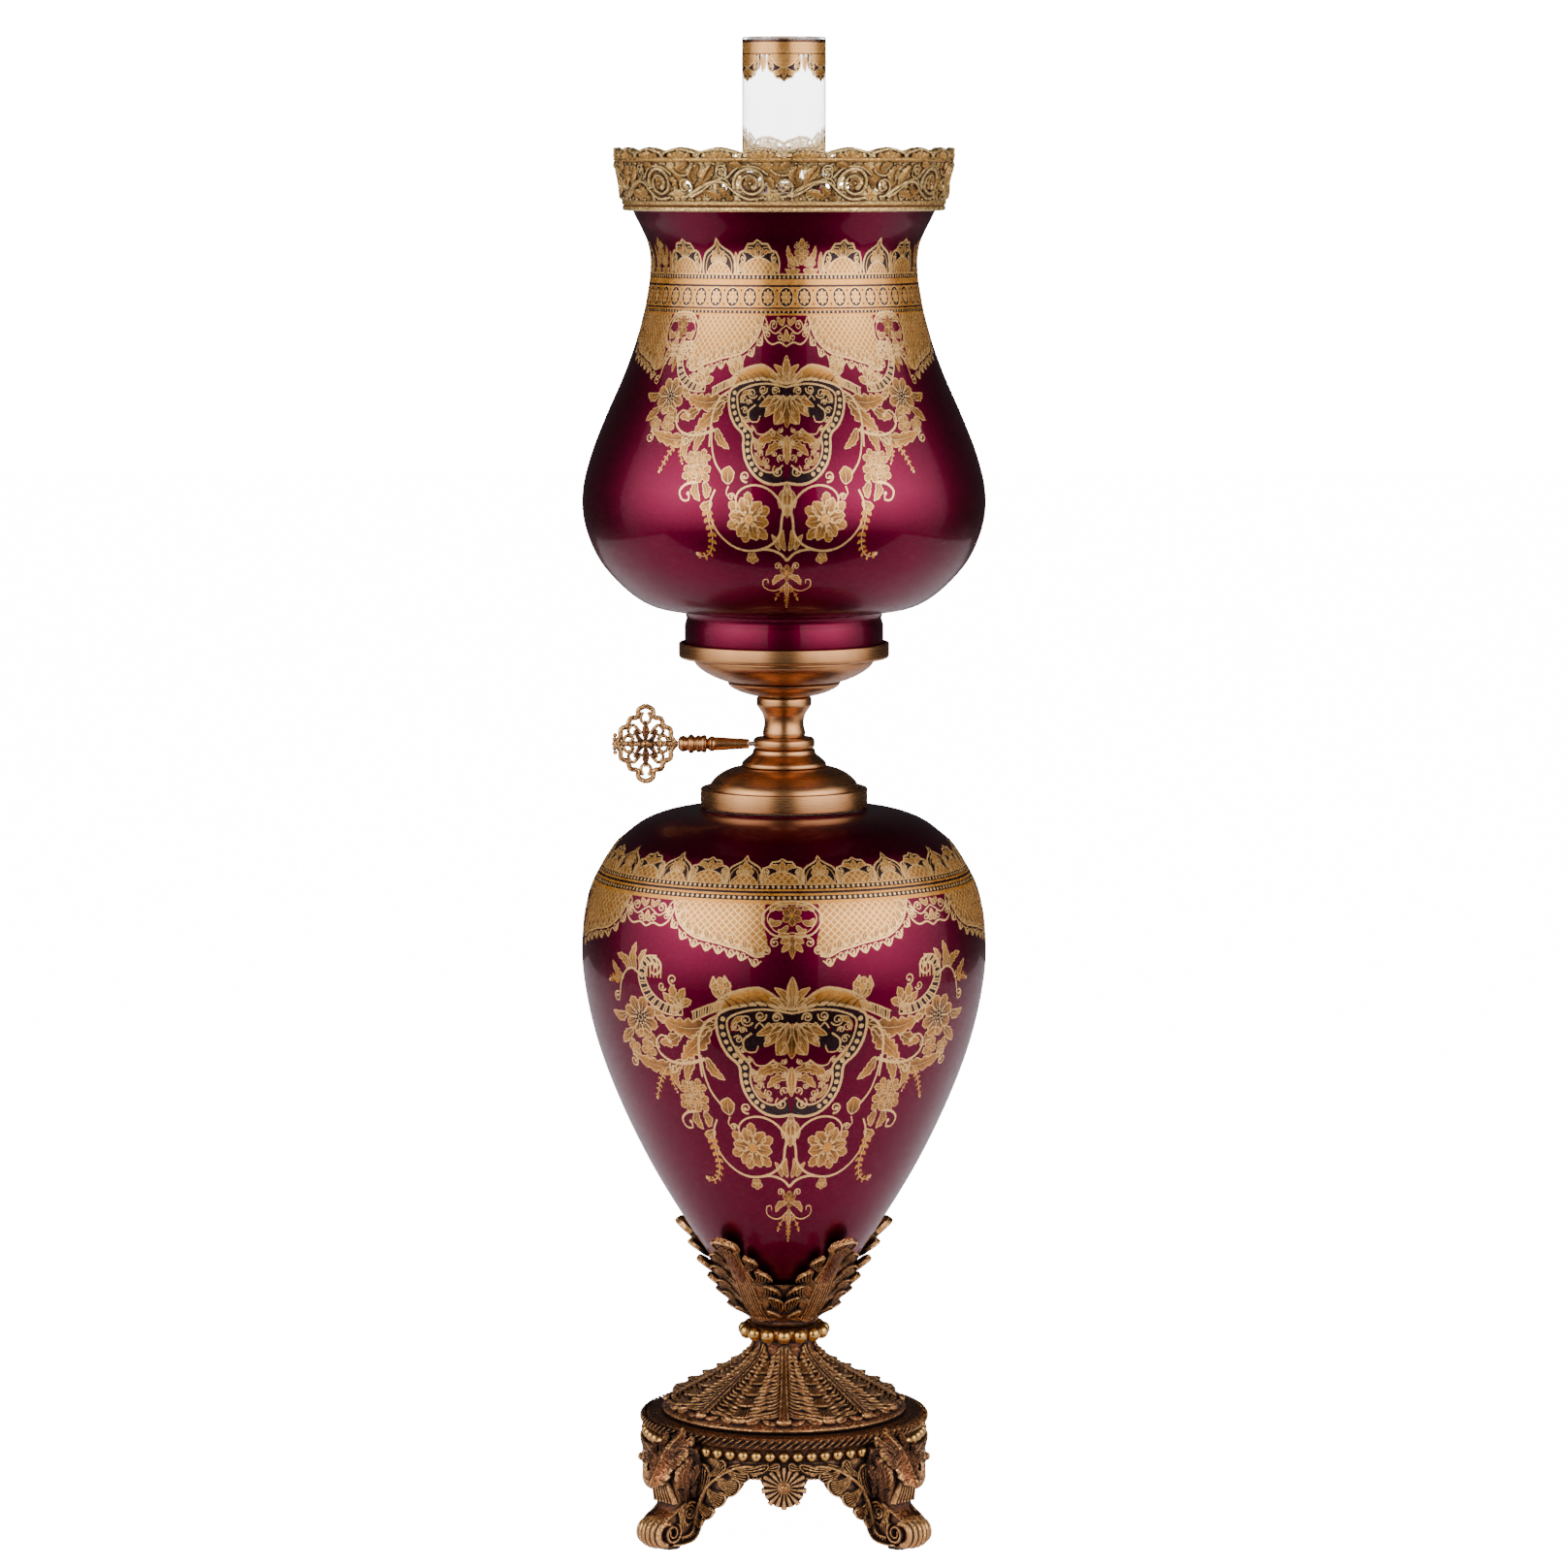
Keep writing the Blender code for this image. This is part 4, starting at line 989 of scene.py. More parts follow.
# printed gold: dark shading, bright metal, and a diamond net where the net mask is set
def foilMaterial(name, look):
    material, tree, shader = startMaterial(name, Metallic=0.62, Specular_IOR_Level=0.8)
    tone = addNode(tree, "ShaderNodeAttribute", attribute_name="tone").outputs["Fac"]
    net = addNode(tree, "ShaderNodeAttribute", attribute_name="net").outputs["Fac"]
    flat = addNode(tree, "ShaderNodeSeparateXYZ", [(0, addNode(tree, "ShaderNodeUVMap",
        uv_map="flat").outputs[0])])
    x, s = flat.outputs["X"], flat.outputs["Y"]
    lines = []
    for sign in (1, -1):
        slant = mathNode(tree, "ADD", mathNode(tree, "MULTIPLY", x, look["netPitch"] * sign),
            mathNode(tree, "MULTIPLY", s, look["netPitch"]))
        lines.append(rampNode(tree, mathNode(tree, "PINGPONG", slant, 0.5), 0.06, 0.13, 1, 0))
    diamond = mathNode(tree, "MAXIMUM", lines[0], lines[1])
    netTone = rampNode(tree, diamond, 0, 1, look["netGround"], 1)
    netMix = mathNode(tree, "ADD", mathNode(tree, "MULTIPLY", net, netTone),
        mathNode(tree, "MULTIPLY", mathNode(tree, "SUBTRACT", 1, net), tone))
    place = addNode(tree, "ShaderNodeTexCoord").outputs["Object"]
    wear = addNode(tree, "ShaderNodeTexNoise", [("Vector", place)], in_Scale=220, in_Detail=3)
    gold = mixColour(tree, rampNode(tree, wear.outputs["Fac"], 0.35, 0.65), look["gold"], look["goldPale"])
    filled = mixColour(tree, rampNode(tree, netMix, 0.05, 0.7), look["ink"], gold)
    colour = mixColour(tree, rampNode(tree, netMix, 0.75, 1), filled, look["line"])
    tree.links.new(colour, shader.inputs["Base Color"])
    tree.links.new(rampNode(tree, wear.outputs["Fac"], 0.3, 0.7, look["roughness"] - 0.04,
        look["roughness"] + 0.05), shader.inputs["Roughness"])
    addBump(tree, shader, wear.outputs["Fac"], 0.08, 0.0002)
    return material


finishes["foil"] = foilMaterial("goldFoil", {"gold": (0.66, 0.25, 0.030, 1),
    "goldPale": (0.78, 0.33, 0.055, 1), "line": (0.95, 0.55, 0.20, 1), "ink": (0.020, 0.003, 0.006, 1),
    "netPitch": 26, "netGround": 0.46, "roughness": 0.27})

vaseOrnament = {"axis": 4, "copies": 2}
shadeOrnament = {"axis": 1.5, "copies": 2, "low": 28, "vaseLow": 52, "shrink": 0.894}


# a line that starts on the axis, with its other half in front of it
def bothSides(half):
    return [(-x, *rest) for x, *rest in half[:0:-1]] + half


def mirrored(half):
    whole = Sheet()
    whole.merge(half, lambda x, s: (x, s))
    whole.merge(half, lambda x, s: (-x, s), flip=True)
    return whole


def decorateGlass():
    cartouche = mirrored(drawCartouche())
    onVase = Sheet()
    for index in range(vaseOrnament["copies"]):
        shift = vaseOrnament["axis"] + index * 100 * wholeTurn / vaseOrnament["copies"]
        onVase.merge(cartouche, lambda x, s: (x + shift, s))
    layOnGlass("vaseCartouches", onVase, vaseShape, "base")
    onShade = Sheet()

    def onto(x, s, shift):
        narrow = 0.77 + (s - 110) * (0.94 - 0.77) / (205 - 110)
        return x * narrow + shift, shadeOrnament["low"] + shadeOrnament["shrink"] * (s
            - shadeOrnament["vaseLow"])

    for index in range(shadeOrnament["copies"]):
        shift = shadeOrnament["axis"] + index * 100 * wholeTurn / shadeOrnament["copies"]
        onShade.merge(cartouche, lambda x, s: onto(x, s, shift))
    layOnGlass("shadeCartouches", onShade, shadeShape, "shade")


decorateGlass()
print("cartouches ready")


def wholeRing(sheet, low, high, tone, lift=liftGround, net=0):
    turns = np.linspace(0, 100 * wholeTurn, 241)
    fillBetween(sheet, [(x, high) for x in turns], [(x, low) for x in turns],
        max(1, int((high - low) / 2.5)), tone, tone, lift, net)


def beadRing(sheet, s, spacing, radius):
    count = round(100 * wholeTurn / spacing)
    for index in range(count):
        disc(sheet, (index * 100 * wholeTurn / count, s), radius, 1, liftTop, 6)


# a pointed arch with a fan of leaves over a diamond net; its foot is at (0, 0)
def drawOgee():
    unit = Sheet()
    outline = bothSides([(0, 16), (1.4, 13), (4.4, 11), (8.2, 8.6), (10, 4), (9.6, 0)])
    arch = smoothLine(outline, 1.2)
    fillBetween(unit, arch, [(p[0] * 0.98, 0) for p in arch], 4, 0.05, 0.05)
    ribbon(unit, outline, 1)
    ribbon(unit, [(x * 0.8, s * 0.84) for x, s in outline], 0.5, tone=0.85)
    hump = smoothLine(bothSides([(0, 5), (5, 3.4), (7.4, 0)]), 1.2)
    fillBetween(unit, hump, [(p[0], 0) for p in hump], 2, 0.7, 0.7, liftFill, 1)
    ribbon(unit, [tuple(p) for p in hump], 0.55, step=99)
    for degrees, length in ((90, 8.6), (60, 7), (120, 7), (32, 5.6), (148, 5.6)):
        angle = math.radians(degrees)
        leaf(unit, [(1.6 * math.cos(angle), 4 + 1.2 * math.sin(angle)),
            (length * math.cos(angle), 4 + length * math.sin(angle))], 2.6, 1, 0, 0.4, 1, 0.4)
    return unit


# a broad lobe with leafy scrolls over a diamond net; its foot is at (0, 0)
def drawLobe():
    unit = Sheet()
    outline = bothSides([(0, 14), (2.4, 12.4), (5.6, 12.2), (7.6, 9.4), (10.4, 8.6), (12, 4.4), (11.4, 0)])
    arch = smoothLine(outline, 1.2)
    fillBetween(unit, arch, [(p[0] * 0.98, 0) for p in arch], 4, 0.05, 0.05)
    ribbon(unit, outline, 1)
    hump = smoothLine(bothSides([(0, 6.6), (6.6, 4.6), (9.6, 0)]), 1.2)
    fillBetween(unit, hump, [(p[0], 0) for p in hump], 2, 0.7, 0.7, liftFill, 1)
    ribbon(unit, [tuple(p) for p in hump], 0.6, step=99)
    leaf(unit, [(0, 6.6), (0, 12.6)], 3.4, 2, 0.3, 0.4, 1, 0.4)
    for side in (-1, 1):
        leaf(unit, [(side * 1, 7), (side * 4.6, 9.8), (side * 7.4, 8.8)], 3, 3, 0.4, 0.4, 1, 0.4)
        curl(unit, (side * 9, 6.2), 1.9, 90, 1.2 * side, 0.7)
        leaf(unit, [(side * 7.4, 4.4), (side * 9.8, 3.2), (side * 10.4, 0.8)], 2, 1, 0, 0.5, 1, 0.35)
    return unit


def drawPosy():
    unit = Sheet()
    bloom(unit, (0, 9), 4.6, 6, 90, 0.25, 0.1)
    for side in (-1, 1):
        bloom(unit, (side * 5.4, 5.4), 3, 5, 70, 0.25, 0.1, 0.95, 0.35)
        leaf(unit, [(side * 1.5, 4), (side * 7, 9), (side * 8, 14)], 3.4, 4, 0.4, 0.3, 0.95, 0.4)
        leaf(unit, [(side * 1, 2), (side * 6, 0.8), (side * 9.6, 2.4)], 3, 3, 0.4, 0.3, 0.95, 0.4)
        curl(unit, (side * 3.2, 14), 1.9, 90, 1.2 * side, 0.6)
    leaf(unit, [(0, 12), (0, 18)], 3, 1, 0, 0.4, 1, 0.4)
    return unit


# half a repeat of the diamond net and its lacy edge: medallion at x = 0, ruby arch at x = 78.5, net top 0
def drawNetBand():
    half = Sheet()
    low = [(13.5, -26), (18, -26.4), (24, -23.4), (30, -22), (36, -20.4), (44, -19), (50, -17.4),
        (56, -13.5), (60, -8.5), (63.5, 0)]
    edge = smoothLine(low, 1.6)
    fillBetween(half, [(p[0], 0) for p in edge], edge, 9, 0.7, 0.7, liftGround, 1)
    inside = smoothLine([(13.5, 0), (16.5, -7), (13.5, -13.5), (12, -20), (13.5, -26)], 1.6)
    fillBetween(half, inside, [(14, p[1]) for p in inside], 1, 0.7, 0.7, liftGround, 1)
    ribbon(half, [tuple(p) for p in edge], 0.9, step=99)
    length = lineMeasure(edge)[0]
    for at in np.arange(4, length[-1] - 3, 6.4):
        x, s = np.interp(at, length, edge[:, 0]), np.interp(at, length, edge[:, 1])
        ahead = (np.interp(at + 1, length, edge[:, 0]) - x, np.interp(at + 1, length, edge[:, 1]) - s)
        heading = math.degrees(math.atan2(ahead[1], ahead[0]))
        out = (x + ahead[1] * 2.4, s - ahead[0] * 2.4)
        curl(half, out, 2.3, heading + 20, -1.25)
        ribbon(half, [(out[0] - 3.2 * ahead[0], out[1] - 3.2 * ahead[1] + 1),
            (out[0] + ahead[1] * 2.6, out[1] - ahead[0] * 2.6), (out[0] + 3.2 * ahead[0],
            out[1] + 3.2 * ahead[1] + 1)], 0.7)
        tip = (x - ahead[1] * 6 + ahead[0] * 3, s + ahead[0] * 6 + ahead[1] * 3)
        leaf(half, [(x - ahead[1], s + ahead[0]), tip], 3.4, 3, 0.4, 0.1, 0.95, 0.45)
        disc(half, (x - ahead[1] * 2 - ahead[0] * 3, s + ahead[0] * 2 - ahead[1] * 3), 1)
    # medallion
    for radius, width in ((1, 0.9), (0.82, 0.5)):
        ribbon(half, [(0, -7 + 8.4 * radius), (9 * radius, -7 + 7 * radius), (15 * radius, -7),
            (11 * radius, -7 - 7.4 * radius), (5 * radius, -7 - 9.6 * radius), (0, -7 - 9 * radius)], width)
    bloom(half, (0, -6), 5.4, 6, 90, 0.25, 0.1)
    for root, bend, tip, size in (((5, -3), (8.6, -1.6), (11, -4), 3.2),
            ((5, -9), (9, -10), (11, -7.4), 3.2), ((2, -1.5), (5, 0), (7, 0.4), 2.4),
            ((2, -11), (4.6, -13.6), (7, -13), 2.6)):
        leaf(half, [root, bend, tip], size, 2, 0.3, 0.2, 0.95, 0.4)
    leaf(half, [(0, -15.5), (0, -21), (0, -27.5)], 3.6, 3, 0.35, 0.3, 1)
    for root, tip in (((1, -17), (5.6, -19.5)), ((1, -19.4), (5, -24)), ((1, -16), (7, -15.6))):
        leaf(half, [root, tip], 2.6, 1, 0, 0.3, 1, 0.45)
    curl(half, (8.4, -19.5), 2.6, 120, -1.25)
    curl(half, (12.6, -23.5), 2.4, 60, 1.25)
    # ruby arch with its scrolls
    ribbon(half, [(62, -4), (64.5, -10.5), (69, -13.5), (74, -12.5), (78.5, -14.5)], 0.9)
    ribbon(half, [(64, -1), (67, -6), (71, -8.5), (75, -6.5), (78.5, -4.6)], 0.7)
    for parts in (((70, -4.6), 2.8, 200, -1.3), ((66.5, -8.6), 2, 60, 1.2, 0.7),
            ((74, -10), 2.2, 120, -1.2, 0.7)):
        curl(half, *parts)
    leaf(half, [(72, -1), (75.5, -3.4), (77.6, -1)], 2.6, 2, 0.3, 0.3, 1, 0.4)
    leaf(half, [(76, -12), (78.2, -9.5), (78.3, -6.5)], 2.8, 1, 0, 0.3, 1, 0.4)
    return half


def repeatRound(sheet, unit, count, start, base, stretch=1, rise=1):
    for index in range(count):
        shift = start + index * 100 * wholeTurn / count
        sheet.merge(unit, lambda x, s: (x * stretch + shift, base + s * rise), flip=rise < 0)


def decorateBands():
    ogee, lobe, posy, net = drawOgee(), drawLobe(), drawPosy(), mirrored(drawNetBand())
    between = Sheet()
    leaf(between, [(0, 0), (0, 9)], 2.6, 1, 0, 0.4, 1, 0.4)
    vaseBands = Sheet()
    for low, high, tone in ((240, 242, 0.72), (242, 244.4, 0.04), (244.4, 245.6, 0.72), (245.6, 246.8, 0),
            (246.8, 247.8, 0.72), (247.8, 250, 0.04), (250, 250.8, 0.9)):
        wholeRing(vaseBands, low, high, tone)
    beadRing(vaseBands, 243.2, 2.9, 0.85)
    beadRing(vaseBands, 248.9, 2.9, 0.85)
    for parts in ((net, 4, vaseOrnament["axis"], 240.2), (ogee, 15, 20, 250.6),
            (lobe, 15, 20 + 20.95, 250.6), (between, 30, 20 + 10.2, 250.6)):
        repeatRound(vaseBands, *parts)
    layOnGlass("vaseBands", vaseBands, vaseShape, "base")

    shadeBands = Sheet()
    for low, high, tone in ((184, 185, 0.72), (185, 186.4, 0.04), (186.4, 187.2, 0.72), (187.2, 188, 0),
            (188, 198.2, 0.70), (198.2, 199.2, 0), (199.2, 202, 0.72), (202, 204, 0.04), (204, 204.8, 0.9)):
        wholeRing(shadeBands, low, high, tone)
    beadRing(shadeBands, 185.7, 3.2, 0.6)
    beadRing(shadeBands, 203, 3.2, 0.8)
    rosette = Sheet()
    disc(rosette, (0, 0), 4.7, 0, liftFill, 16)
    ribbon(rosette, [(5.2 * math.cos(a), 4.9 * math.sin(a)) for a in np.linspace(0, wholeTurn, 17)], 0.5,
        step=99)
    for index in range(8):
        angle = index * wholeTurn / 8
        leaf(rosette, [polar((0, 0), 0.7, angle), polar((0, 0), 3.9, angle)], 1.9, 1, 0, 1, 1.3, 0, liftLine)
    disc(rosette, (0, 0), 0.9)
    spray = Sheet()
    for side in (-1, 1):
        disc(spray, (0, side * 3.4), 0.6, 0, liftLine, 6)
    for parts in ((rosette, 48, shadeOrnament["axis"], 193.1),
            (spray, 48, shadeOrnament["axis"] + 100 * wholeTurn / 96, 193.1),
            (net, 4, shadeOrnament["axis"] + 25 * math.pi, 184, 1, 1.08), (ogee, 5, -50, 204.6, 1.35, 1.12),
            (lobe, 5, -50 + 31, 204.6, 1.3, 1.22), (posy, 5, -50 + 62.8, 204.6, 1.25, 1),
            (lobe, 5, -50 + 94.6, 204.6, 1.3, 1.22), (between, 10, -50 + 14.2, 204.6, 1.2, 1.2)):
        repeatRound(shadeBands, *parts)
    layOnGlass("shadeBands", shadeBands, shadeShape, "shade")

    chimneyBands = Sheet()
    for low, high, tone, netted in ((57.4, 58.6, 0.1, 0), (52, 57.4, 0.7, 1), (51.2, 52, 0.2, 0)):
        wholeRing(chimneyBands, low, high, tone, liftGround, netted)
    repeatRound(chimneyBands, lobe, 6, 0, 51.4, 3.4, -0.95)
    repeatRound(chimneyBands, between, 6, 52, 51.4, 3.4, -1)
    tube = {"outer": [(21.1, 700), (21.1, 730), (21.1, 760.4)]}
    layOnGlass("chimneyBand", chimneyBands, tube, "chimney")


decorateBands()
print("bands ready")


# cast ornament
# Drawn flat as well, each point with its own height in mm over the piece that carries it.


# collects closed raised shapes, laid on a surface by a place function (x, s, height) -> (x, y, z) in mm
class Casting:

    def __init__(self, place):
        self.place, self.points, self.faces = place, [], []

    # a closed tube of cross sections: rows x points per section x (x, s, h)
    def addGrid(self, grid):
        rows, count = grid.shape[:2]
        start = sum(len(block) for block in self.points)
        self.points.append(self.place(*grid.reshape(-1, 3).T))
        at = lambda row, column: start + row * count + column % count
        for row in range(rows - 1):
            for column in range(count):
                self.faces.append((at(row, column), at(row, column + 1), at(row + 1, column + 1),
                    at(row + 1, column)))
        self.faces.append(tuple(at(0, column) for column in range(count))[::-1])
        self.faces.append(tuple(at(rows - 1, column) for column in range(count)))

    def make(self, name, body, finish, nodes=()):
        mesh = bpy.data.meshes.new(name)
        mesh.from_pydata((np.vstack(self.points) * mm).tolist(), [], self.faces)
        shell = bmesh.new()
        shell.from_mesh(mesh)
        bmesh.ops.recalc_face_normals(shell, faces=shell.faces)
        shell.to_mesh(mesh)
        shell.free()
        piece = bpy.data.objects.new(name, mesh)
        sceneData.collection.objects.link(piece)
        makeActive(piece)
        bpy.ops.object.shade_smooth_by_angle(angle=math.radians(50))
        return settle(piece, body, finish, nodes)


domeSection = [(-0.5, 0), (-0.44, 0.55), (-0.2, 0.95), (0.2, 0.95), (0.44, 0.55), (0.5, 0)]


# a rounded raised strip; a point may carry its own extra height as a third value
def castRibbon(casting, points, width, height, widthEnd=None, heightEnd=None, base=0, sink=0.8, step=1.2,
        section=domeSection):
    knots = [(*p, 0) if len(p) == 2 else p for p in points]
    path = smoothLine(knots, step) if len(knots) > 2 else np.linspace(knots[0], knots[-1], 6)
    t = np.linspace(0, 1, len(path))
    widths = width + ((width if widthEnd is None else widthEnd) - width) * t
    heights = height + ((height if heightEnd is None else heightEnd) - height) * t
    run = lineRun(path[:, :2])
    grid = []
    for u, v in section + [(0.5, None), (-0.5, None)]:
        h = base + path[:, 2] + heights * v if v is not None else base + path[:, 2] - sink
        grid.append(np.stack([path[:, 0] - run[:, 1] * widths * u, path[:, 1] + run[:, 0] * widths * u, h],
            axis=1))
    casting.addGrid(np.stack(grid, axis=1))


# a raised spiral that ends in a ball; stretch widens it along x
def castCurl(casting, centre, radius, start, turns, width, height, stretch=1, base=0, inner=0.3, ball=1):
    count = max(10, int(abs(turns) * 20))
    t = np.linspace(0, 1, count)
    angle = math.radians(start) + turns * wholeTurn * t
    reach = radius * (1 - (1 - inner) * t ** 0.85)
    points = [polar(centre, r, a, stretch) for r, a in zip(reach, angle)]
    castRibbon(casting, points, width, height, width * 0.6, height * 0.8, base, step=999)
    if ball:
        castBall(casting, (*points[-1], base + height * 0.3), width * 0.75 * ball, stretch)


def castBall(casting, centre, radius, stretch=1, tall=1, sides=10, rings=7):
    rows = []
    for latitude in np.linspace(-math.pi / 2 * 0.94, math.pi / 2 * 0.94, rings):
        reach, rise = radius * math.cos(latitude), radius * math.sin(latitude) * tall
        rows.append([(*polar(centre, reach, a, stretch), centre[2] + rise) for a in np.arange(sides)
            * wholeTurn / sides])
    casting.addGrid(np.array(rows))


# a modelled leaf: lobed edge, raised midrib, herringbone veins, and a tip that may curl away
def castLeaf(casting, points, profile, height, lobes=5, depth=0.3, veins=9, veinDepth=0.22, tipLift=0,
        base=0, rib=0.35, cup=0.5, sink=0.8, step=0.8):
    knots = [(*p, 0) if len(p) == 2 else p for p in points]
    length = sum(math.dist(a[:2], b[:2]) for a, b in zip(knots, knots[1:]))
    path = smoothLine(knots, min(step, length / 24)) if len(knots) > 2 else np.linspace(knots[0], knots[-1],
        26)
    t = np.linspace(0, 1, len(path))
    stops = np.array(profile if isinstance(profile, list) else [(0, profile * 0.18), (0.2, profile * 0.40),
        (0.45, profile * 0.5), (0.75, profile * 0.36), (0.93, profile * 0.14), (1, profile * 0.02)])
    spread = np.interp(t, stops[:, 0], stops[:, 1])
    saw = (t * lobes) % 1 if lobes > 1 else np.zeros_like(t)
    lobed = spread * (1 - depth * saw ** 2)
    run = lineRun(path[:, :2])
    side = np.stack([-run[:, 1], run[:, 0]], axis=1)
    grid = []
    columns = (-1, -0.8, -0.55, -0.3, -0.1, 0, 0.1, 0.3, 0.55, 0.8, 1)
    for u in columns:
        reach = lobed[:, None] * side * u + run * (np.abs(u) ** 1.5 * spread * 0.3)[:, None]
        fold = height * (1 - cup * u * u)
        ripple = height * veinDepth * np.cos(wholeTurn * (t * veins - abs(u) * 0.9)) * min(1, abs(u) * 3)
        spine = height * rib * max(0, 1 - abs(u) * 9)
        h = base + path[:, 2] + (fold + ripple + spine) * np.minimum(1, (1 - t) * 8 + 0.35) + tipLift * t ** 4
        grid.append(np.concatenate([path[:, :2] + reach, h[:, None]], axis=1))
    for u in (1, -1):
        reach = lobed[:, None] * side * u * 0.96 + run * (spread * 0.3)[:, None]
        h = base + path[:, 2] - sink + tipLift * t ** 4
        grid.append(np.concatenate([path[:, :2] + reach, h[:, None]], axis=1))
    casting.addGrid(np.stack(grid, axis=1))


def castBloom(casting, centre, radius, petals, height, base=0, stretch=1, heart=0.26):
    for index in range(petals):
        angle = index * wholeTurn / petals + math.pi / 2
        points = [polar(centre, reach, angle, stretch) for reach in (radius * 0.12, radius)]
        wide = radius * 2 * math.pi / petals * 1.02
        castLeaf(casting, points, [(0, wide * 0.12), (0.55, wide * 0.42), (0.85, wide * 0.5),
            (0.96, wide * 0.36), (1, wide * 0.1)], height, 1, 0, 4, 0.1, base=base, cup=0.35, rib=0.5)
    castBall(casting, (*centre, base + height), radius * heart, stretch, 0.8)


def placePlain(x, y, z):
    return np.stack([x, y, z], axis=1)


# round the lamp: x is an arc of radius unit, s runs along the outline, height stands off it
def placeOnLine(points, unit):
    line = smoothLine(points, 1)
    along, slope = lineMeasure(line)
    outward = 1 if slope[len(slope) // 2, 1] > 0 else -1

    def place(x, s, h):
        radius = np.interp(s, along, line[:, 0]) + outward * np.interp(s, along, slope[:, 1]) * h
        height = np.interp(s, along, line[:, 1]) - outward * np.interp(s, along, slope[:, 0]) * h
        turn = x / unit
        return np.stack([radius * np.sin(turn), -radius * np.cos(turn), height], axis=1)
    return place


def placeRound(points, degrees):
    # as placeOnLine, but x is in true mm either side of the line at this turn
    onLine = placeOnLine(points, 1)
    line = smoothLine(points, 1)
    along = np.concatenate([[0], np.cumsum(np.linalg.norm(np.diff(line, axis=0), axis=1))])
    return lambda x, s, h: onLine(math.radians(degrees) + x / np.interp(s, along, line[:, 0]), s, h)


def castFrond(casting, start, tip, wide, height, lift=0, ribs=5, bend=0.12, base=0, lip=1):
    # a rounded frond: ribs that fan out under a rolled lip; bend bows it to one side
    first, last = np.array(start, float), np.array(tip, float)
    long = np.linalg.norm(last - first)
    run = (last - first) / long
    side = np.array([-run[1], run[0]])

    def at(along, across, up):
        point = first + run * along * long + side * (across * wide / 2 + bend * long
            * math.sin(math.pi * along))
        return (point[0], point[1], base + up + lift * max(0, along) ** 3)
    rows = []
    for along in np.linspace(0, 1.02, 13):
        half = np.interp(along, [0, 0.4, 0.75, 0.92, 1], [0.28, 0.66, 1, 0.92, 0.62])
        top = [at(along, u * half, height * 0.5 * (1 - 0.4 * u * u)) for u in (-1, -0.6, -0.2, 0.2, 0.6, 1)]
        rows.append(top + [at(along, u * half * 0.94, -0.5) for u in (1, 0, -1)])
    casting.addGrid(np.array(rows))
    for u in np.linspace(-0.78, 0.78, ribs):
        path = [at(0.02, u * 0.3, height * 0.42), at(0.45, u * 0.72, height * 0.5),
            at(0.93 - 0.16 * u * u, u, height * 0.4)]
        castRibbon(casting, path, wide / ribs * 0.30, height * 0.55, wide / ribs * 0.66, height * 0.6,
            sink=0.3, step=1)
    if lip:
        rim = [at(0.58, -0.86, height * 0.4), at(0.80, -1.02, height * 0.5), at(0.97, -0.6, height * 0.6),
            at(1.03, 0, height * 0.65), at(0.97, 0.6, height * 0.6), at(0.80, 1.02, height * 0.5),
            at(0.58, 0.86, height * 0.4)]
        castRibbon(casting, rim, wide * 0.08 * lip + 0.35, height * 0.45, sink=0.4, step=0.8)


def shifted(place, dx):
    return lambda x, s, h: place(x + dx, s, h)


# crown: plain fillet, openwork frieze of scrolls, moulding and 24 shells on top
crownLook = {
    "repeats": 10, "shells": 24,
    "line": [(80.9, 673.6), (81.1, 679.4), (82.2, 687), (83.8, 694), (84.6, 699), (85.2, 705.2)],
    "holes": [(-27.5, 13, 4.8, 5), (-13, 13.5, 3.4, 5), (0, 12.5, 4.6, 3.8), (-38, 19, 3.8, 2.4),
        (12, 18, 3.2, 3), (-44, 11, 3.6, 2), (5.4, 19.5, 2.2, 2.6), (24, 12, 4, 2.2), (-20, 21, 3.2, 1.4),
        (-50, 19, 2.6, 2)],
}


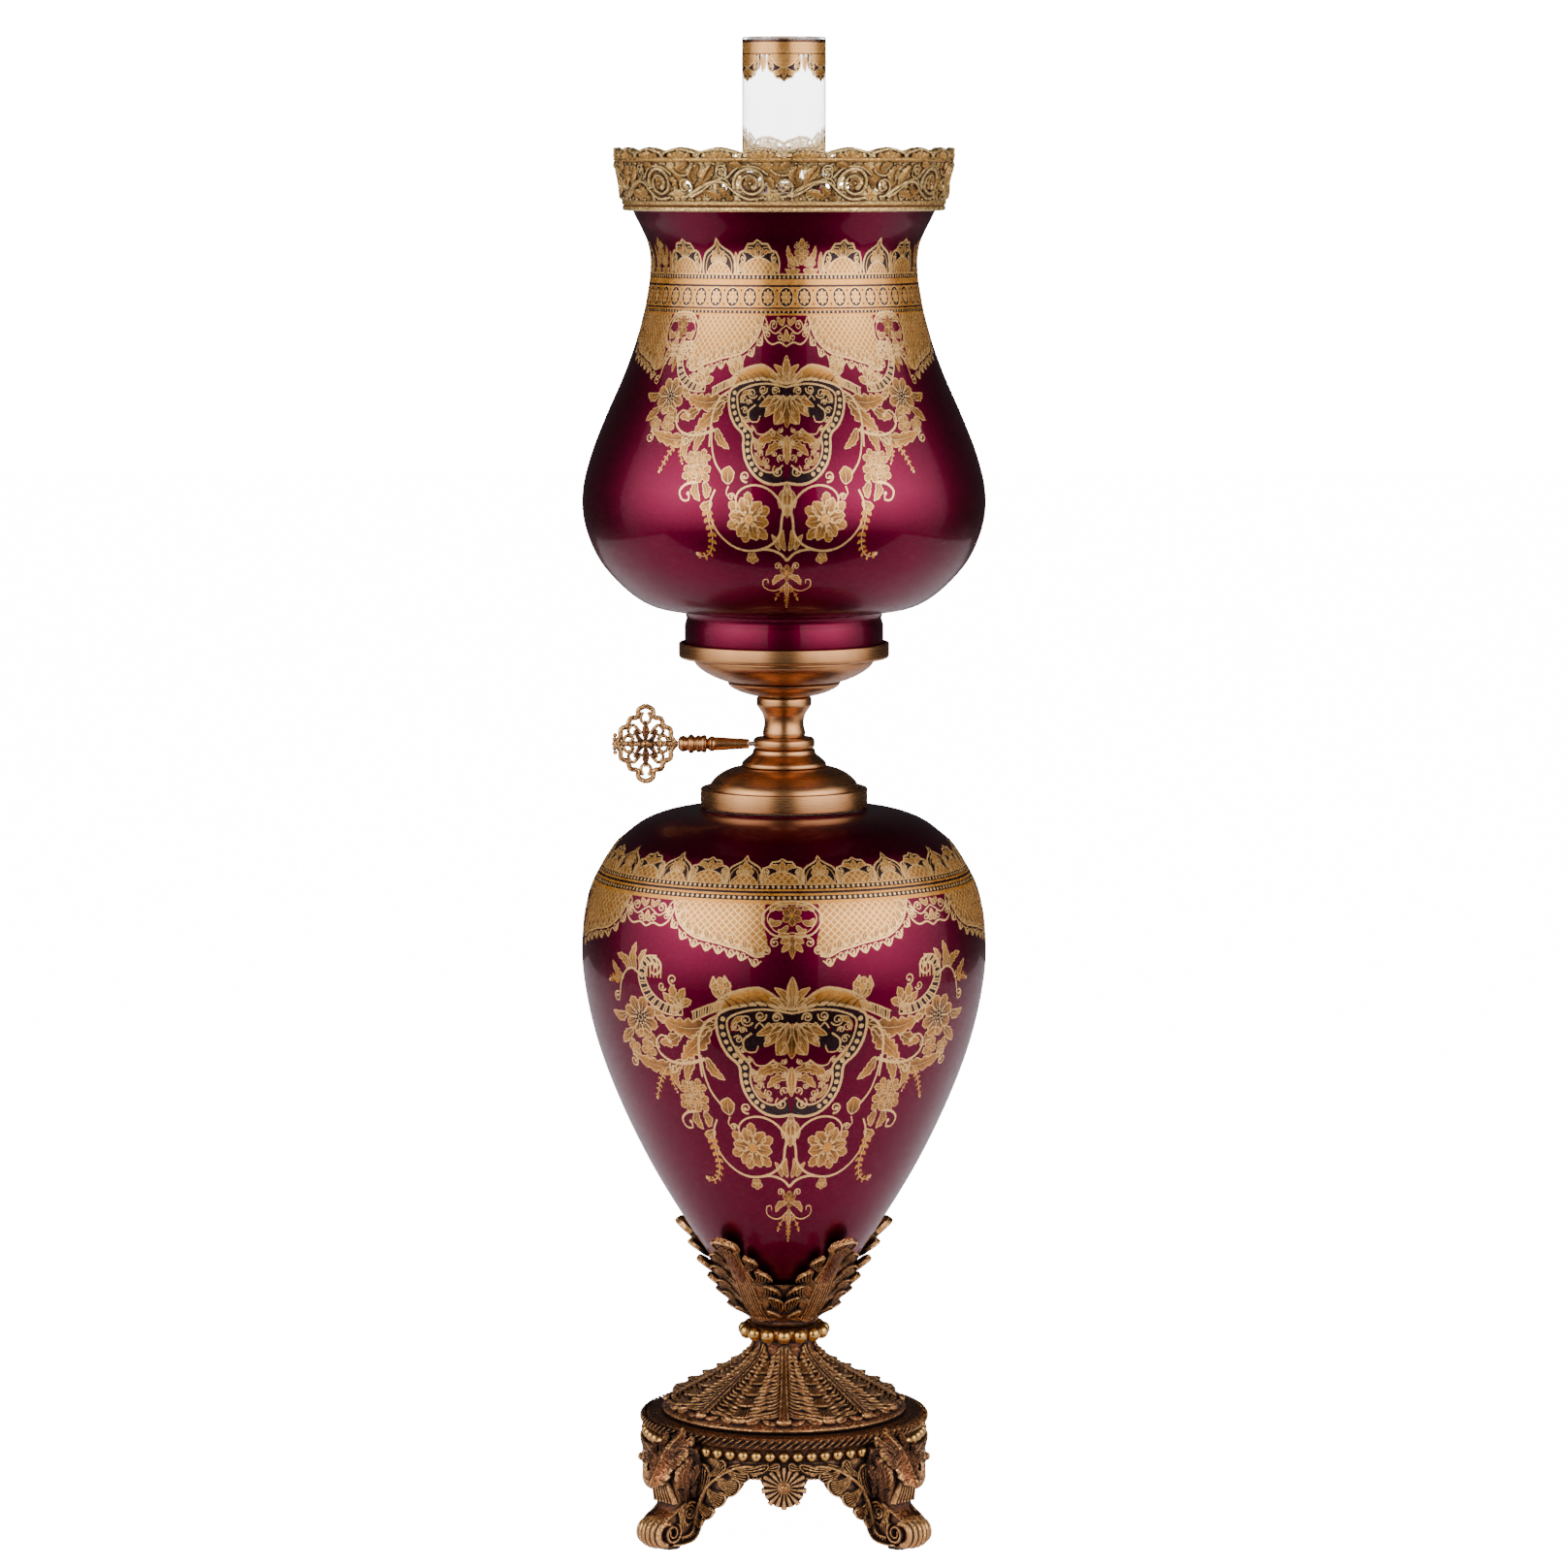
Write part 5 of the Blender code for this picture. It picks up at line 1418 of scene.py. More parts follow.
def buildCrown(look):
    base = [(79.8, 673.6), (80.7, 673.6), (81.5, 674.4), (81.5, 675.6), (80.9, 676.2), (81.7, 677),
        (81.9, 678.2), (81.2, 679.4), (80.2, 679.8), (79.2, 681), (78.6, 683), (73, 683), (73, 681.3),
        (79.4, 681.3)]
    settle(turnOutline("crownFillet", base, 144), "crown", "gilt", ["crown"])
    moulding = roundedOutline([(83, 697.6), (85, 697.8), (86, 698.9), (85.8, 700), (84.8, 700.6),
        (83.2, 700.4)], 0.5)
    settle(turnOutline("crownMoulding", moulding, 144), "crown", "gilt")
    place = placeOnLine(look["line"], 100)
    pitch = 100 * wholeTurn / look["repeats"]
    ground = Casting(place)
    rows, columns = 14, 40
    for repeat in range(look["repeats"]):
        for row in range(rows):
            for column in range(columns):
                x0, x1 = (-pitch + pitch * column / columns, -pitch + pitch * (column + 1) / columns)
                s0, s1 = 5 + 20 * row / rows, 5 + 20 * (row + 1) / rows
                xm, sm = (x0 + x1) / 2 + pitch / 2 - 2, (s0 + s1) / 2
                if any(min((xm - hx + k * pitch) ** 2 / rx ** 2 for k in (-1, 0, 1)) + (sm - hs) ** 2
                        / rs ** 2 < 1 for hx, hs, rx, rs in look["holes"]):
                    continue
                xs = np.array([x0, x1, x1, x0] * 2) + repeat * pitch + pitch / 2 - 2
                ss, hs = np.array([s0, s0, s1, s1] * 2), np.array([0] * 4 + [-1.4] * 4)
                number = sum(len(block) for block in ground.points)
                ground.points.append(place(xs, ss, hs))
                for face in ((0, 1, 2, 3), (7, 6, 5, 4), (0, 4, 5, 1), (1, 5, 6, 2), (2, 6, 7, 3),
                        (3, 7, 4, 0)):
                    ground.faces.append(tuple(number + index for index in face))
    mergeGrid(ground.make("crownGround", "crown", "gilt"))
    frieze = Casting(place)
    for repeat in range(look["repeats"]):
        frieze.place = shifted(place, repeat * pitch)
        castCurl(frieze, (-20, 14.3), 8.6, 200, -1.7, 2.4, 1.6, 1.25)
        castCurl(frieze, (0, 12.6), 5.4, 250, 1.25, 1.9, 1.5, 1.2)
        for parts in (([(-60, 8), (-53, 11.5), (-45, 14.5), (-36, 14.5), (-30, 10), (-22, 6.4), (-12, 7)],
                2.6, 1.7, 1.6, 1.3), ([(-34, 17), (-27, 22), (-17, 22.4), (-9.5, 18.5)], 1.8, 1.4, 1.2, 1),
                ([(4, 7.4), (12, 10.5), (20, 15), (27, 16.5), (31, 13)], 2.2, 1.6, 1.4, 1.2),
                ([(-8, 21), (-4, 18.6), (2, 18.4), (7, 22.5)], 1.4, 1.2)):
            castRibbon(frieze, *parts)
        for parts in (((-38, 19), 3.4, 300, 1.4, 1.4, 1.2, 1.2),
                ((26, 20.5), 3.2, 200, -1.4, 1.4, 1.2, 1.2), ((16, 8.2), 2.6, 100, 1.3, 1.2, 1.1, 1.2)):
            castCurl(frieze, *parts)
        for points, width in (([(-50, 15), (-46, 19), (-42, 23)], 6),
                ([(-50, 10), (-43, 8.5), (-37, 6.6)], 5), ([(-33, 11), (-34, 8), (-31, 6)], 4),
                ([(12, 13), (15, 18), (20, 23.4)], 6), ([(8, 15), (7, 19), (11, 23.6)], 5),
                ([(22, 13), (26, 9.5), (30, 7)], 5), ([(-12, 17), (-8, 15), (-6, 11)], 4),
                ([(-24, 22), (-29, 23.6), (-33, 23.4)], 4), ([(-56, 14), (-58, 18), (-55, 23)], 5),
                ([(-3, 21), (0, 23), (4, 24.4)], 4)):
            castLeaf(frieze, points, width, 1.5, 4, 0.35, 5, 0.15)
        castBloom(frieze, (-20, 14.3), 3, 6, 0.9, 0.5, 1.2)
        for bead in range(12):
            castBall(frieze, (-58 + bead * 5.2, 5.9 + 0.5 * (bead % 2), 0.3), 0.9, 1.15, 1, 6, 5)
        for bead in range(9):
            castBall(frieze, (-56 + bead * 7, 23.9 - 0.5 * (bead % 2), 0.3), 0.8, 1.15, 1, 6, 5)
    frieze.make("crownFrieze", "crown", "gilt")
    crest = Casting(place)
    for shell in range(look["shells"]):
        crest.place = shifted(place, (shell + 0.5) * 100 * wholeTurn / look["shells"])
        castRibbon(crest, bothSides([(0, 31.2), (6.5, 30.2), (11.6, 29), (12.6, 26.8)]), 1.7, 1, sink=1.6)
        for x, top in ((-8.4, 28.6), (-4.2, 29.6), (0, 31), (4.2, 29.6), (8.4, 28.6)):
            castLeaf(crest, [(x * 0.45, 25.6), (x, top)], 4.2, 1, 1, 0, 3, 0.1, sink=1.8)
        for parts in (((0, 30.9, 0.3), 1.3, 1.15, 1, 8, 6), ((-13.1, 28.2, 0.2), 1.3, 1.15, 1, 8, 6),
                ((-5.6, 30.6, 0), 0.9, 1.15, 1, 6, 5), ((5.6, 30.6, 0), 0.9, 1.15, 1, 6, 5)):
            castBall(crest, *parts)
    crest.make("crownShells", "crown", "gilt")


# join the cells of a pierced plate and drop the walls between neighbours
def mergeGrid(piece):
    shell = bmesh.new()
    shell.from_mesh(piece.data)
    bmesh.ops.remove_doubles(shell, verts=shell.verts, dist=0.00003)
    seen = {}
    for face in shell.faces:
        seen.setdefault(frozenset(v.index for v in face.verts), []).append(face)
    inside = [face for same in seen.values() if len(same) > 1 for face in same]
    bmesh.ops.delete(shell, geom=inside, context="FACES_ONLY")
    bmesh.ops.recalc_face_normals(shell, faces=shell.faces)
    shell.to_mesh(piece.data)
    shell.free()


buildCrown(crownLook)
print("crown ready")


# leaf cup, collar and pedestal dome
def buildCollar():
    cushion = [(5.3, 97.3), (15.2, 97.3), (17, 98.2), (18.2, 99.6), (18.4, 101.6), (17.8, 102.8),
        (16.6, 103.7), (15.4, 104.4), (5.3, 104.5)]
    settle(turnOutline("collarCushion", cushion, 96), "base", "copper", ["beaded_collar"], "bead_brass")
    beads = Casting(placePlain)
    for index in range(15):
        turn = index * wholeTurn / 15
        castBall(beads, (20.1 * math.sin(turn), -20.1 * math.cos(turn), 100.7), 3.7, 1, 1, 18, 14)
    beads.make("collarBeads", "base", "bead")


cupLine = [(17.9, 108), (20.2, 112.4), (25.5, 118.4), (35.9, 135.6), (52.8, 160.6), (55, 164)]
domeLine = [(14.9, 96.8), (15, 93.5), (17.2, 89.8), (24.2, 83.6), (35.2, 76.9), (50, 68.9), (58, 64.5),
    (62.3, 61.2)]


cupLook = {
    "leaves": 5, "tip": 60, "curl": 5,
    "lobes": (((2.5, 36), (10.5, 48.5), 6.6, 3.2), ((3.5, 26), (14.5, 39), 8, 3.6),
        ((4.5, 16), (15.4, 29), 8, 3.8), ((6.5, 7), (14.6, 21.5), 7, 3.4), ((4, 2), (10.2, 12), 5.4, 2.6)),
}


def buildLeafCup(look):
    bowl = [(5.3, 104.8), (15.8, 104.8), (17, 105.4), (17.9, 106.8), (17.3, 108.2), (18.4, 110),
        (22.4, 113.4), (28.5, 120.4), (33.2, 127.6), (34.2, 129.6), (33.2, 130.2), (29.8, 126.6),
        (24, 120.4), (18.8, 116.7), (17, 114.6), (5.3, 114.6)]
    settle(turnOutline("cupBowl", bowl, 112), "base", "bronze", ["leaf_cup"])
    leaves = Casting(None)
    for number in range(look["leaves"]):
        leaves.place = placeRound(cupLine, (number + 0.5) * 360 / look["leaves"])
        castLeaf(leaves, [(0, 1), (0, 30), (0, look["tip"])], [(0, 6), (0.1, 9), (0.3, 8.6), (0.5, 6),
            (0.68, 4.6), (0.8, 5.4), (0.9, 6.4), (0.96, 6), (0.99, 3.8), (1, 1.2)], 2.2, 1, 0, 1, 0,
            look["curl"], rib=0, cup=0.3, sink=0.4, step=0.6)
        for u in (-1, -0.66, -0.33, 0, 0.33, 0.66, 1):
            top = 57 - 4 * abs(u)
            castRibbon(leaves, [(u * 4.2, 3, 1.7), (u * 4.6, 20, 1.9), (u * 3.4, 40, 2),
                (u * 4.9, top, 6 - abs(u))], 1.1 if u else 1.8, 0.9, 1, 0.5, sink=0.5)
        castRibbon(leaves, bothSides([(0, 61.4, 7.2), (3.6, 60, 6.6), (5.9, 56.5, 5), (5.7, 51.5, 3.6)]),
            1.7, 1.2, sink=2.2)
        for side in (-1, 1):
            for start, tip, wide, lift in look["lobes"]:
                castFrond(leaves, (side * start[0], start[1]), (side * tip[0], tip[1]), wide, 1.9, lift, 5,
                    -0.16 * side, 0.6)
    leaves.make("cupLeaves", "base", "bronze")


def buildDome():
    low = 58.8
    outline = [(5.3, 97), (14.6, 97), (14.9, 96.4), (14.9, 93.5)]
    outline += [tuple(p) for p in smoothLine(domeLine[1:], 1.5)] + [(62.5, 60.4), (62, 59.4), (61, low),
        (58.5, low)]
    outline += [(48, 66), (33, 74), (21.5, 81.5), (15, 88), (11, 93), (5.3, 94)]
    settle(turnOutline("domeCore", outline, 128), "base", "bronze", ["pedestal_dome"])
    line = smoothLine(domeLine, 1)
    along = lineMeasure(line)[0]
    halfWide = lambda s: float(np.interp(s, along, line[:, 0])) * math.pi / 8
    leaves = Casting(None)
    for number in range(8):
        leaves.place = placeRound(domeLine, number * 45)
        castRibbon(leaves, [(0, 1.5, 0.2), (0, 30, 0.2), (0, 55, 0.1)], 2.6, 1, 4.6, 0.8)
        for side in (-1, 1):
            castRibbon(leaves, [(side * 1, 1.5, 0.6), (side * 1.2, 30, 0.7), (side * 2, 55, 0.6)], 1, 1.3,
                1.5, 1.1)
            for barb in range(19):
                s = 2.5 + 2.75 * barb
                reach = halfWide(min(s + 5, 57)) * 0.93 - 1.6
                rise = min(7.5, 57 - s)
                sway = 0.8 * math.sin(2.4 * barb)
                castRibbon(leaves, [(side * 1.7, s, 0.2), (side * (1.6 + reach * 0.25), s + rise * 0.5,
                    0.8), (side * (1.6 + reach * 0.5), s + rise * 0.55 + sway, 0.1),
                    (side * (1.6 + reach * 0.78), s + rise * 0.95, 0.9 + 0.3 * sway),
                    (side * (1.6 + reach), s + rise, 0)], 1.3, 1.1, 2.4, 1.6)
        leaves.place = placeRound(domeLine, number * 45 + 22.5)
        for s, wide, lift in ((18, 4.6, 1.2), (27, 5.5, 1.6), (36, 6.8, 1.8), (45, 8, 2), (53, 9, 1.6)):
            castFrond(leaves, (0, s - 6), (0, s + 3.5), wide, 1.5, lift, 5, 0, 0.3)
        for half in (0, 1):
            leaves.place = placeRound(domeLine, number * 45 + 22.5 * half)
            castBall(leaves, (0, 57.4, 1.5), 2.1, 1.9, 0.9, 14, 9)
            for side in (-1, 1):
                castLeaf(leaves, [(side * 3, 57.6), (side * 7, 57.4), (side * 11, 55.6)], 3, 1.3, 2, 0.2, 3,
                    0.1)
    leaves.make("domeLeaves", "base", "bronze")


finishes["bead"] = turnedMetal("beadBrass", {"colour": (0.66, 0.38, 0.12, 1),
    "tarnish": (0.50, 0.27, 0.08, 1), "roughness": 0.24, "ringScale": 900, "ringBump": 0.1})
buildCollar()
buildLeafCup(cupLook)
buildDome()
print("cup and dome ready")

# footed base

footLook = {
    "beads": 64, "beadRadius": 2.95, "beadCircle": 70.7, "beadHeight": 49.4, "legGap": 5,
    "ropeStrands": 112, "ropeRadius": 2.5, "ropeCircle": 71.8, "ropeHeight": 56.2,
    "front": [(67, 53.5), (78, 50.5), (84.4, 45), (86.2, 39), (85.2, 31), (83.6, 25), (85, 20.5),
        (89, 17.6), (94.5, 15), (97, 9.6), (94.6, 4), (90, 1.8)],
    "back": [(75, 1.8), (69.6, 5), (67.4, 11), (68.4, 18), (72, 24), (74.6, 30), (73, 36), (68.5, 40)],
}


def legHalfWidth(height):
    return 7.4 + 4.6 * min(1, max(0, (height - 20) / 20))


def apronLow(degrees):
    # lower edge of the apron: stepped scallops up from each leg, level behind the rosette
    steps = ((45, 12), (33, 16), (29.5, 21.5), (24.6, 25.5), (23, 30.5), (17.6, 32), (16.4, 37.4),
        (10, 37.6), (9, 35), (0, 34))
    turns, heights = [row[0] for row in steps][::-1], [row[1] for row in steps][::-1]
    return float(np.interp(abs(degrees), turns, heights))


def buildBasePlate(look):
    plate = roundedOutline([(5.3, 55), (64, 55), (66.4, 50), (66.4, 46), (70.2, 46), (70.2, 52),
        (71.2, 53.2), (72.2, 56), (70, 58.5), (5.3, 58.5)], 0.6)
    settle(turnOutline("basePlate", plate, 144), "base", "bronze", ["footed_base"])
    rope = Casting(lambda x, s, h: np.stack([h * np.sin(x), -h * np.cos(x), s], axis=1))
    for strand in range(look["ropeStrands"]):
        middle = strand * wholeTurn / look["ropeStrands"]
        reach = wholeTurn / look["ropeStrands"]
        rows = []
        for t in np.linspace(-0.5, 0.5, 7):
            size = look["ropeRadius"] * (1 - (2 * abs(t)) ** 3) * 0.6 + 0.12
            turn = middle + t * reach * 1.7
            height = look["ropeHeight"] + t * 5.4
            out = look["ropeCircle"] + 0.9 * math.cos(t * 2.6)
            rows.append([(turn + size * math.cos(a) / look["ropeCircle"],
                height + size * 0.35 * math.cos(a), out + size * math.sin(a)) for a in np.arange(8)
                * wholeTurn / 8])
        rope.addGrid(np.array(rows))
    rope.make("baseRope", "base", "bronze")
    beads = Casting(placePlain)
    for index in range(look["beads"]):
        turn = index * wholeTurn / look["beads"]
        if abs((math.degrees(turn) % 90) - 45) > look["legGap"]:
            castBall(beads, (look["beadCircle"] * math.sin(turn), -look["beadCircle"] * math.cos(turn),
                look["beadHeight"]), look["beadRadius"], 1, 1, 14, 10)
    beads.make("baseBeads", "base", "bead")


def buildApron():
    drum = placeOnLine([(70.6, 0), (70.6, 30), (70.6, 60)], 70.6)   # x in mm round the drum, s is the height
    mmPerDegree = 70.6 * wholeTurn / 360
    panel = Casting(drum)
    ornament = Casting(drum)
    for quarter in range(4):
        shift = quarter * 70.6 * math.pi / 2
        panel.place = shifted(drum, shift)
        degrees = np.linspace(-45, 45, 121)
        section = []
        for angle in degrees:
            x, low = angle * mmPerDegree, apronLow(angle)
            section.append([(x, low, 0), (x, (low + 46.6) / 2, 0.4), (x, 46.6, 0), (x, 46.6, -3.4),
                (x, low + 0.6, -3.4)])
        panel.addGrid(np.array(section))
        ornament.place = shifted(drum, shift)
        castBall(ornament, (0, 34, 0.2), 10.6, 1, 0.14, 28, 9)
        for ray in range(18):
            turn = ray * wholeTurn / 18
            reach = 10.4 + 0.9 * (ray % 2)
            castRibbon(ornament, [(3.4 * math.sin(turn), 34 + 3.4 * math.cos(turn), 1.2),
                (7 * math.sin(turn), 34 + 7 * math.cos(turn), 1.3),
                (reach * math.sin(turn), 34 + reach * math.cos(turn), 0.6)], 0.9, 1.1, 3, 1.5)
        castBall(ornament, (0, 34, 1.6), 3.6, 1, 0.5, 16, 9)
        castBall(ornament, (0, 34, 3.2), 2.1, 1, 0.8, 14, 9)
        for side in (-1, 1):
            def at(points):
                return [(side * p[0], *p[1:]) for p in points]
            castRibbon(ornament, at([(47, 12), (44.5, 23), (39, 33), (31, 39.6), (23, 43.6), (15.6, 44.4),
                (12.2, 42), (14.6, 40), (16.6, 41.6)]), 2.8, 2.8, 1.6, 2, 0.4)
            castRibbon(ornament, at([(48, 20), (44, 31), (37, 38.6), (29, 43), (22, 45.4)]), 1.6, 2.2, 1,
                1.4, 0.4)
            castCurl(ornament, (side * 16.4, 41.6), 2.4, 90, -1.1 * side, 1.4, 2.4)
            for start, tip, wide, ribs in (((34.5, 38), (22.4, 33), 9.5, 7), ((40, 31), (30, 25.6), 8.5, 6),
                    ((44, 23), (37, 17.6), 7.5, 5), ((29, 42.6), (17.6, 38.6), 5.5, 4),
                    ((47, 26), (41, 43), 6.5, 4), ((39, 38), (30, 46), 5, 4), ((25, 43.6), (8, 45), 4, 3),
                    ((10.5, 44.6), (2.5, 45.6), 3.4, 3), ((47, 15), (42.6, 12.6), 5, 4)):
                castFrond(ornament, at([start])[0], at([tip])[0], wide, 2.2, 0.8, ribs, 0.12 * side, 0.5)
            for bead in range(5):
                castBall(ornament, (side * (11.6 + bead * 2.1), 38.4, 0.4), 1.1, 1, 1, 8, 6)
    panel.make("apronPanel", "base", "bronze")
    ornament.make("apronScrolls", "base", "bronze")


def buildLegs(look):
    front, back = smoothLine(look["front"], 1), smoothLine(look["back"], 1)
    for leg in range(4):
        turn = math.pi / 4 + leg * math.pi / 2
        cosine, sine = math.cos(turn), math.sin(turn)

        def toWorld(radial, across, height):
            return np.stack([radial * cosine - across * sine, radial * sine + across * cosine, height],
                axis=1)
        core = Casting(toWorld)
        rows = []
        for height in np.linspace(1.8, 53.5, 48):      # rounded slab between the two outlines at each height
            low = np.interp(height, back[:, 1], back[:, 0])
            high = np.interp(height, front[::-1, 1], front[::-1, 0])
            half, edge = legHalfWidth(height) - 0.8, 2.2
            ring = []
            for x, y, start in ((high - edge, half - edge, 0), (low + edge, half - edge, 90),
                    (low + edge, edge - half, 180), (high - edge, edge - half, 270)):
                ring += [(*polar((x, y), edge, math.radians(start + turn)), height) for turn in (0, 30, 60,
                    90)]
            rows.append(ring)
        core.addGrid(np.array(rows))
        core.make("legCore%d" % (leg + 1), "base", "bronze")

        relief = Casting(None)
        halfWidths = np.vectorize(legHalfWidth)
        for side in (-1, 1):
            relief.place = lambda x, s, h: toWorld(x, side * (halfWidths(s) - 0.8 + h), s)
            castCurl(relief, (76.2, 18.6), 4.3, 40, 1.6, 1.7, 2.6)
            castCurl(relief, (88.2, 9.8), 5.6, 130, 1.7, 2, 3.4)
            for parts in (([(79.6, 21.8), (76, 24.2), (71.2, 21.6), (68.6, 15.6), (68.8, 9), (72.8, 4.2),
                    (80, 2.9), (88, 3.6)], 1.8, 2.8), ([(73.6, 17), (72.8, 11), (76, 7.2), (81.6, 6.6)],
                    1.1, 2.2), ([(79.6, 14.6), (76.4, 12), (73.6, 13.4), (72.2, 10.2), (75, 6.6),
                    (81, 5.6)], 1.1, 1.6)):
                castRibbon(relief, *parts)
            for index in range(5):
                castRibbon(relief, [(79.4 + index * 1.1, 24 - index * 0.8),
                    (79.6 + index * 0.7, 17.5 - index * 0.4), (77 + index * 1.5, 11.2)], 1.2, 2, 0.9, 1.6)
            castRibbon(relief, [(79.4, 23.6), (84.6, 20.2), (90.6, 17.2), (95.6, 13)], 1.8, 2, 1.2, 1.4)
            for index in range(16):
                a = index / 15
                x, y, dx, dy = (np.interp(a, (0, 0.35, 0.7, 1), row) for row in ((72.4, 69.8, 71.4, 80),
                    (20.6, 13, 5.8, 4), (2, 2.4, 1.9, 0.4), (-0.8, 0.1, 1.4, 2.2)))
                castRibbon(relief, [(x, y), (x + dx, y + dy)], 0.75, 1.2)
            for points, width in (([(80, 31), (82, 40), (78, 49)], 9),
                    ([(77, 33), (74, 40), (69.5, 44)], 8), ([(84, 33), (85.5, 40), (82, 46)], 6),
                    ([(73, 44), (76, 49), (80, 52)], 5), ([(80, 25), (81.5, 29), (85, 31)], 4),
                    ([(74, 26), (74.6, 31), (72, 36)], 4)):
                castLeaf(relief, points, width, 1.8, 4, 0.35, 7, 0.25)
        frontPath = smoothLine([(70, 56.5), (79, 51.5), (85, 45.6), (86.8, 39), (85.8, 31), (84.2, 25),
            (85.6, 20.5), (89.6, 17.6)], 1)
        along, slope = lineMeasure(frontPath)

        def onFront(x, s, h):
            radial = np.interp(s, along, frontPath[:, 0]) - np.interp(s, along, slope[:, 1]) * h
            height = np.interp(s, along, frontPath[:, 1]) + np.interp(s, along, slope[:, 0]) * h
            return toWorld(radial, x, height)
        relief.place = onFront
        castLeaf(relief, [(0, 15), (0, 7), (0, -0.5, 1)], 8.6, 2.6, 1, 0, 2, 0.05, 1.5, cup=0.7, rib=0.1)
        castRibbon(relief, [(0, 14.5, 2.4), (0, 8, 2.8), (0, 2, 3.2)], 3.2, 1, 2.4, 0.6)
        castLeaf(relief, [(0, 12), (0, 21), (0, 29.5, 2.5)], [(0, 5), (0.3, 8), (0.6, 8.6), (0.85, 6.5),
            (1, 1.5)], 2.6, 5, 0.2, 8, 0.15, 5, rib=0.4)
        for side in (-1, 1):
            for parts in (([(side * 3, 16), (side * 7, 10), (side * 9.4, 3)], 5.6, 2.2, 3, 0.3, 6, 0.2, 1),
                    ([(side * 4, 18), (side * 9, 16), (side * 12, 11)], 5.6, 2, 3, 0.3, 6, 0.2, 1),
                    ([(side * 5, 24), (side * 8.5, 20), (side * 11.5, 18)], 5, 1.8, 3, 0.3, 6, 0.2, 0.8)):
                castLeaf(relief, *parts)
        for index in range(7):
            x = (index - 3) * 2.3
            castRibbon(relief, [(x * 0.5, 26, 0.8), (x * 0.8, 33, 0.9), (x, 41, 0.6)], 1.4, 1.6, 2.2, 1.8)
        relief.place = toWorld
        for index in range(6):      # gadroons that wrap the rolled toe
            across = (index - 2.5) * 2.8
            bulge = math.sqrt(max(0.05, 1 - (across / 11) ** 2))
            rows = []
            for angle in np.linspace(math.radians(115), math.radians(-95), 17):
                point = (91.4 + 6.6 * bulge * math.cos(angle), 9.6 + 6.7 * bulge * math.sin(angle))
                ring = []
                for a in np.arange(8) * wholeTurn / 8:
                    reach = 1.7 * math.cos(a)
                    ring.append((point[0] + reach * math.cos(angle), across + 1.6 * math.sin(a),
                        point[1] + reach * math.sin(angle)))
                rows.append(ring)
            relief.addGrid(np.array(rows))
        castBall(relief, (91, 0, 9.6), 6.4, 1, 0.95, 16, 11)
        relief.make("legRelief%d" % (leg + 1), "base", "bronze")


buildBasePlate(footLook)
buildApron()
buildLegs(footLook)
print("base ready")


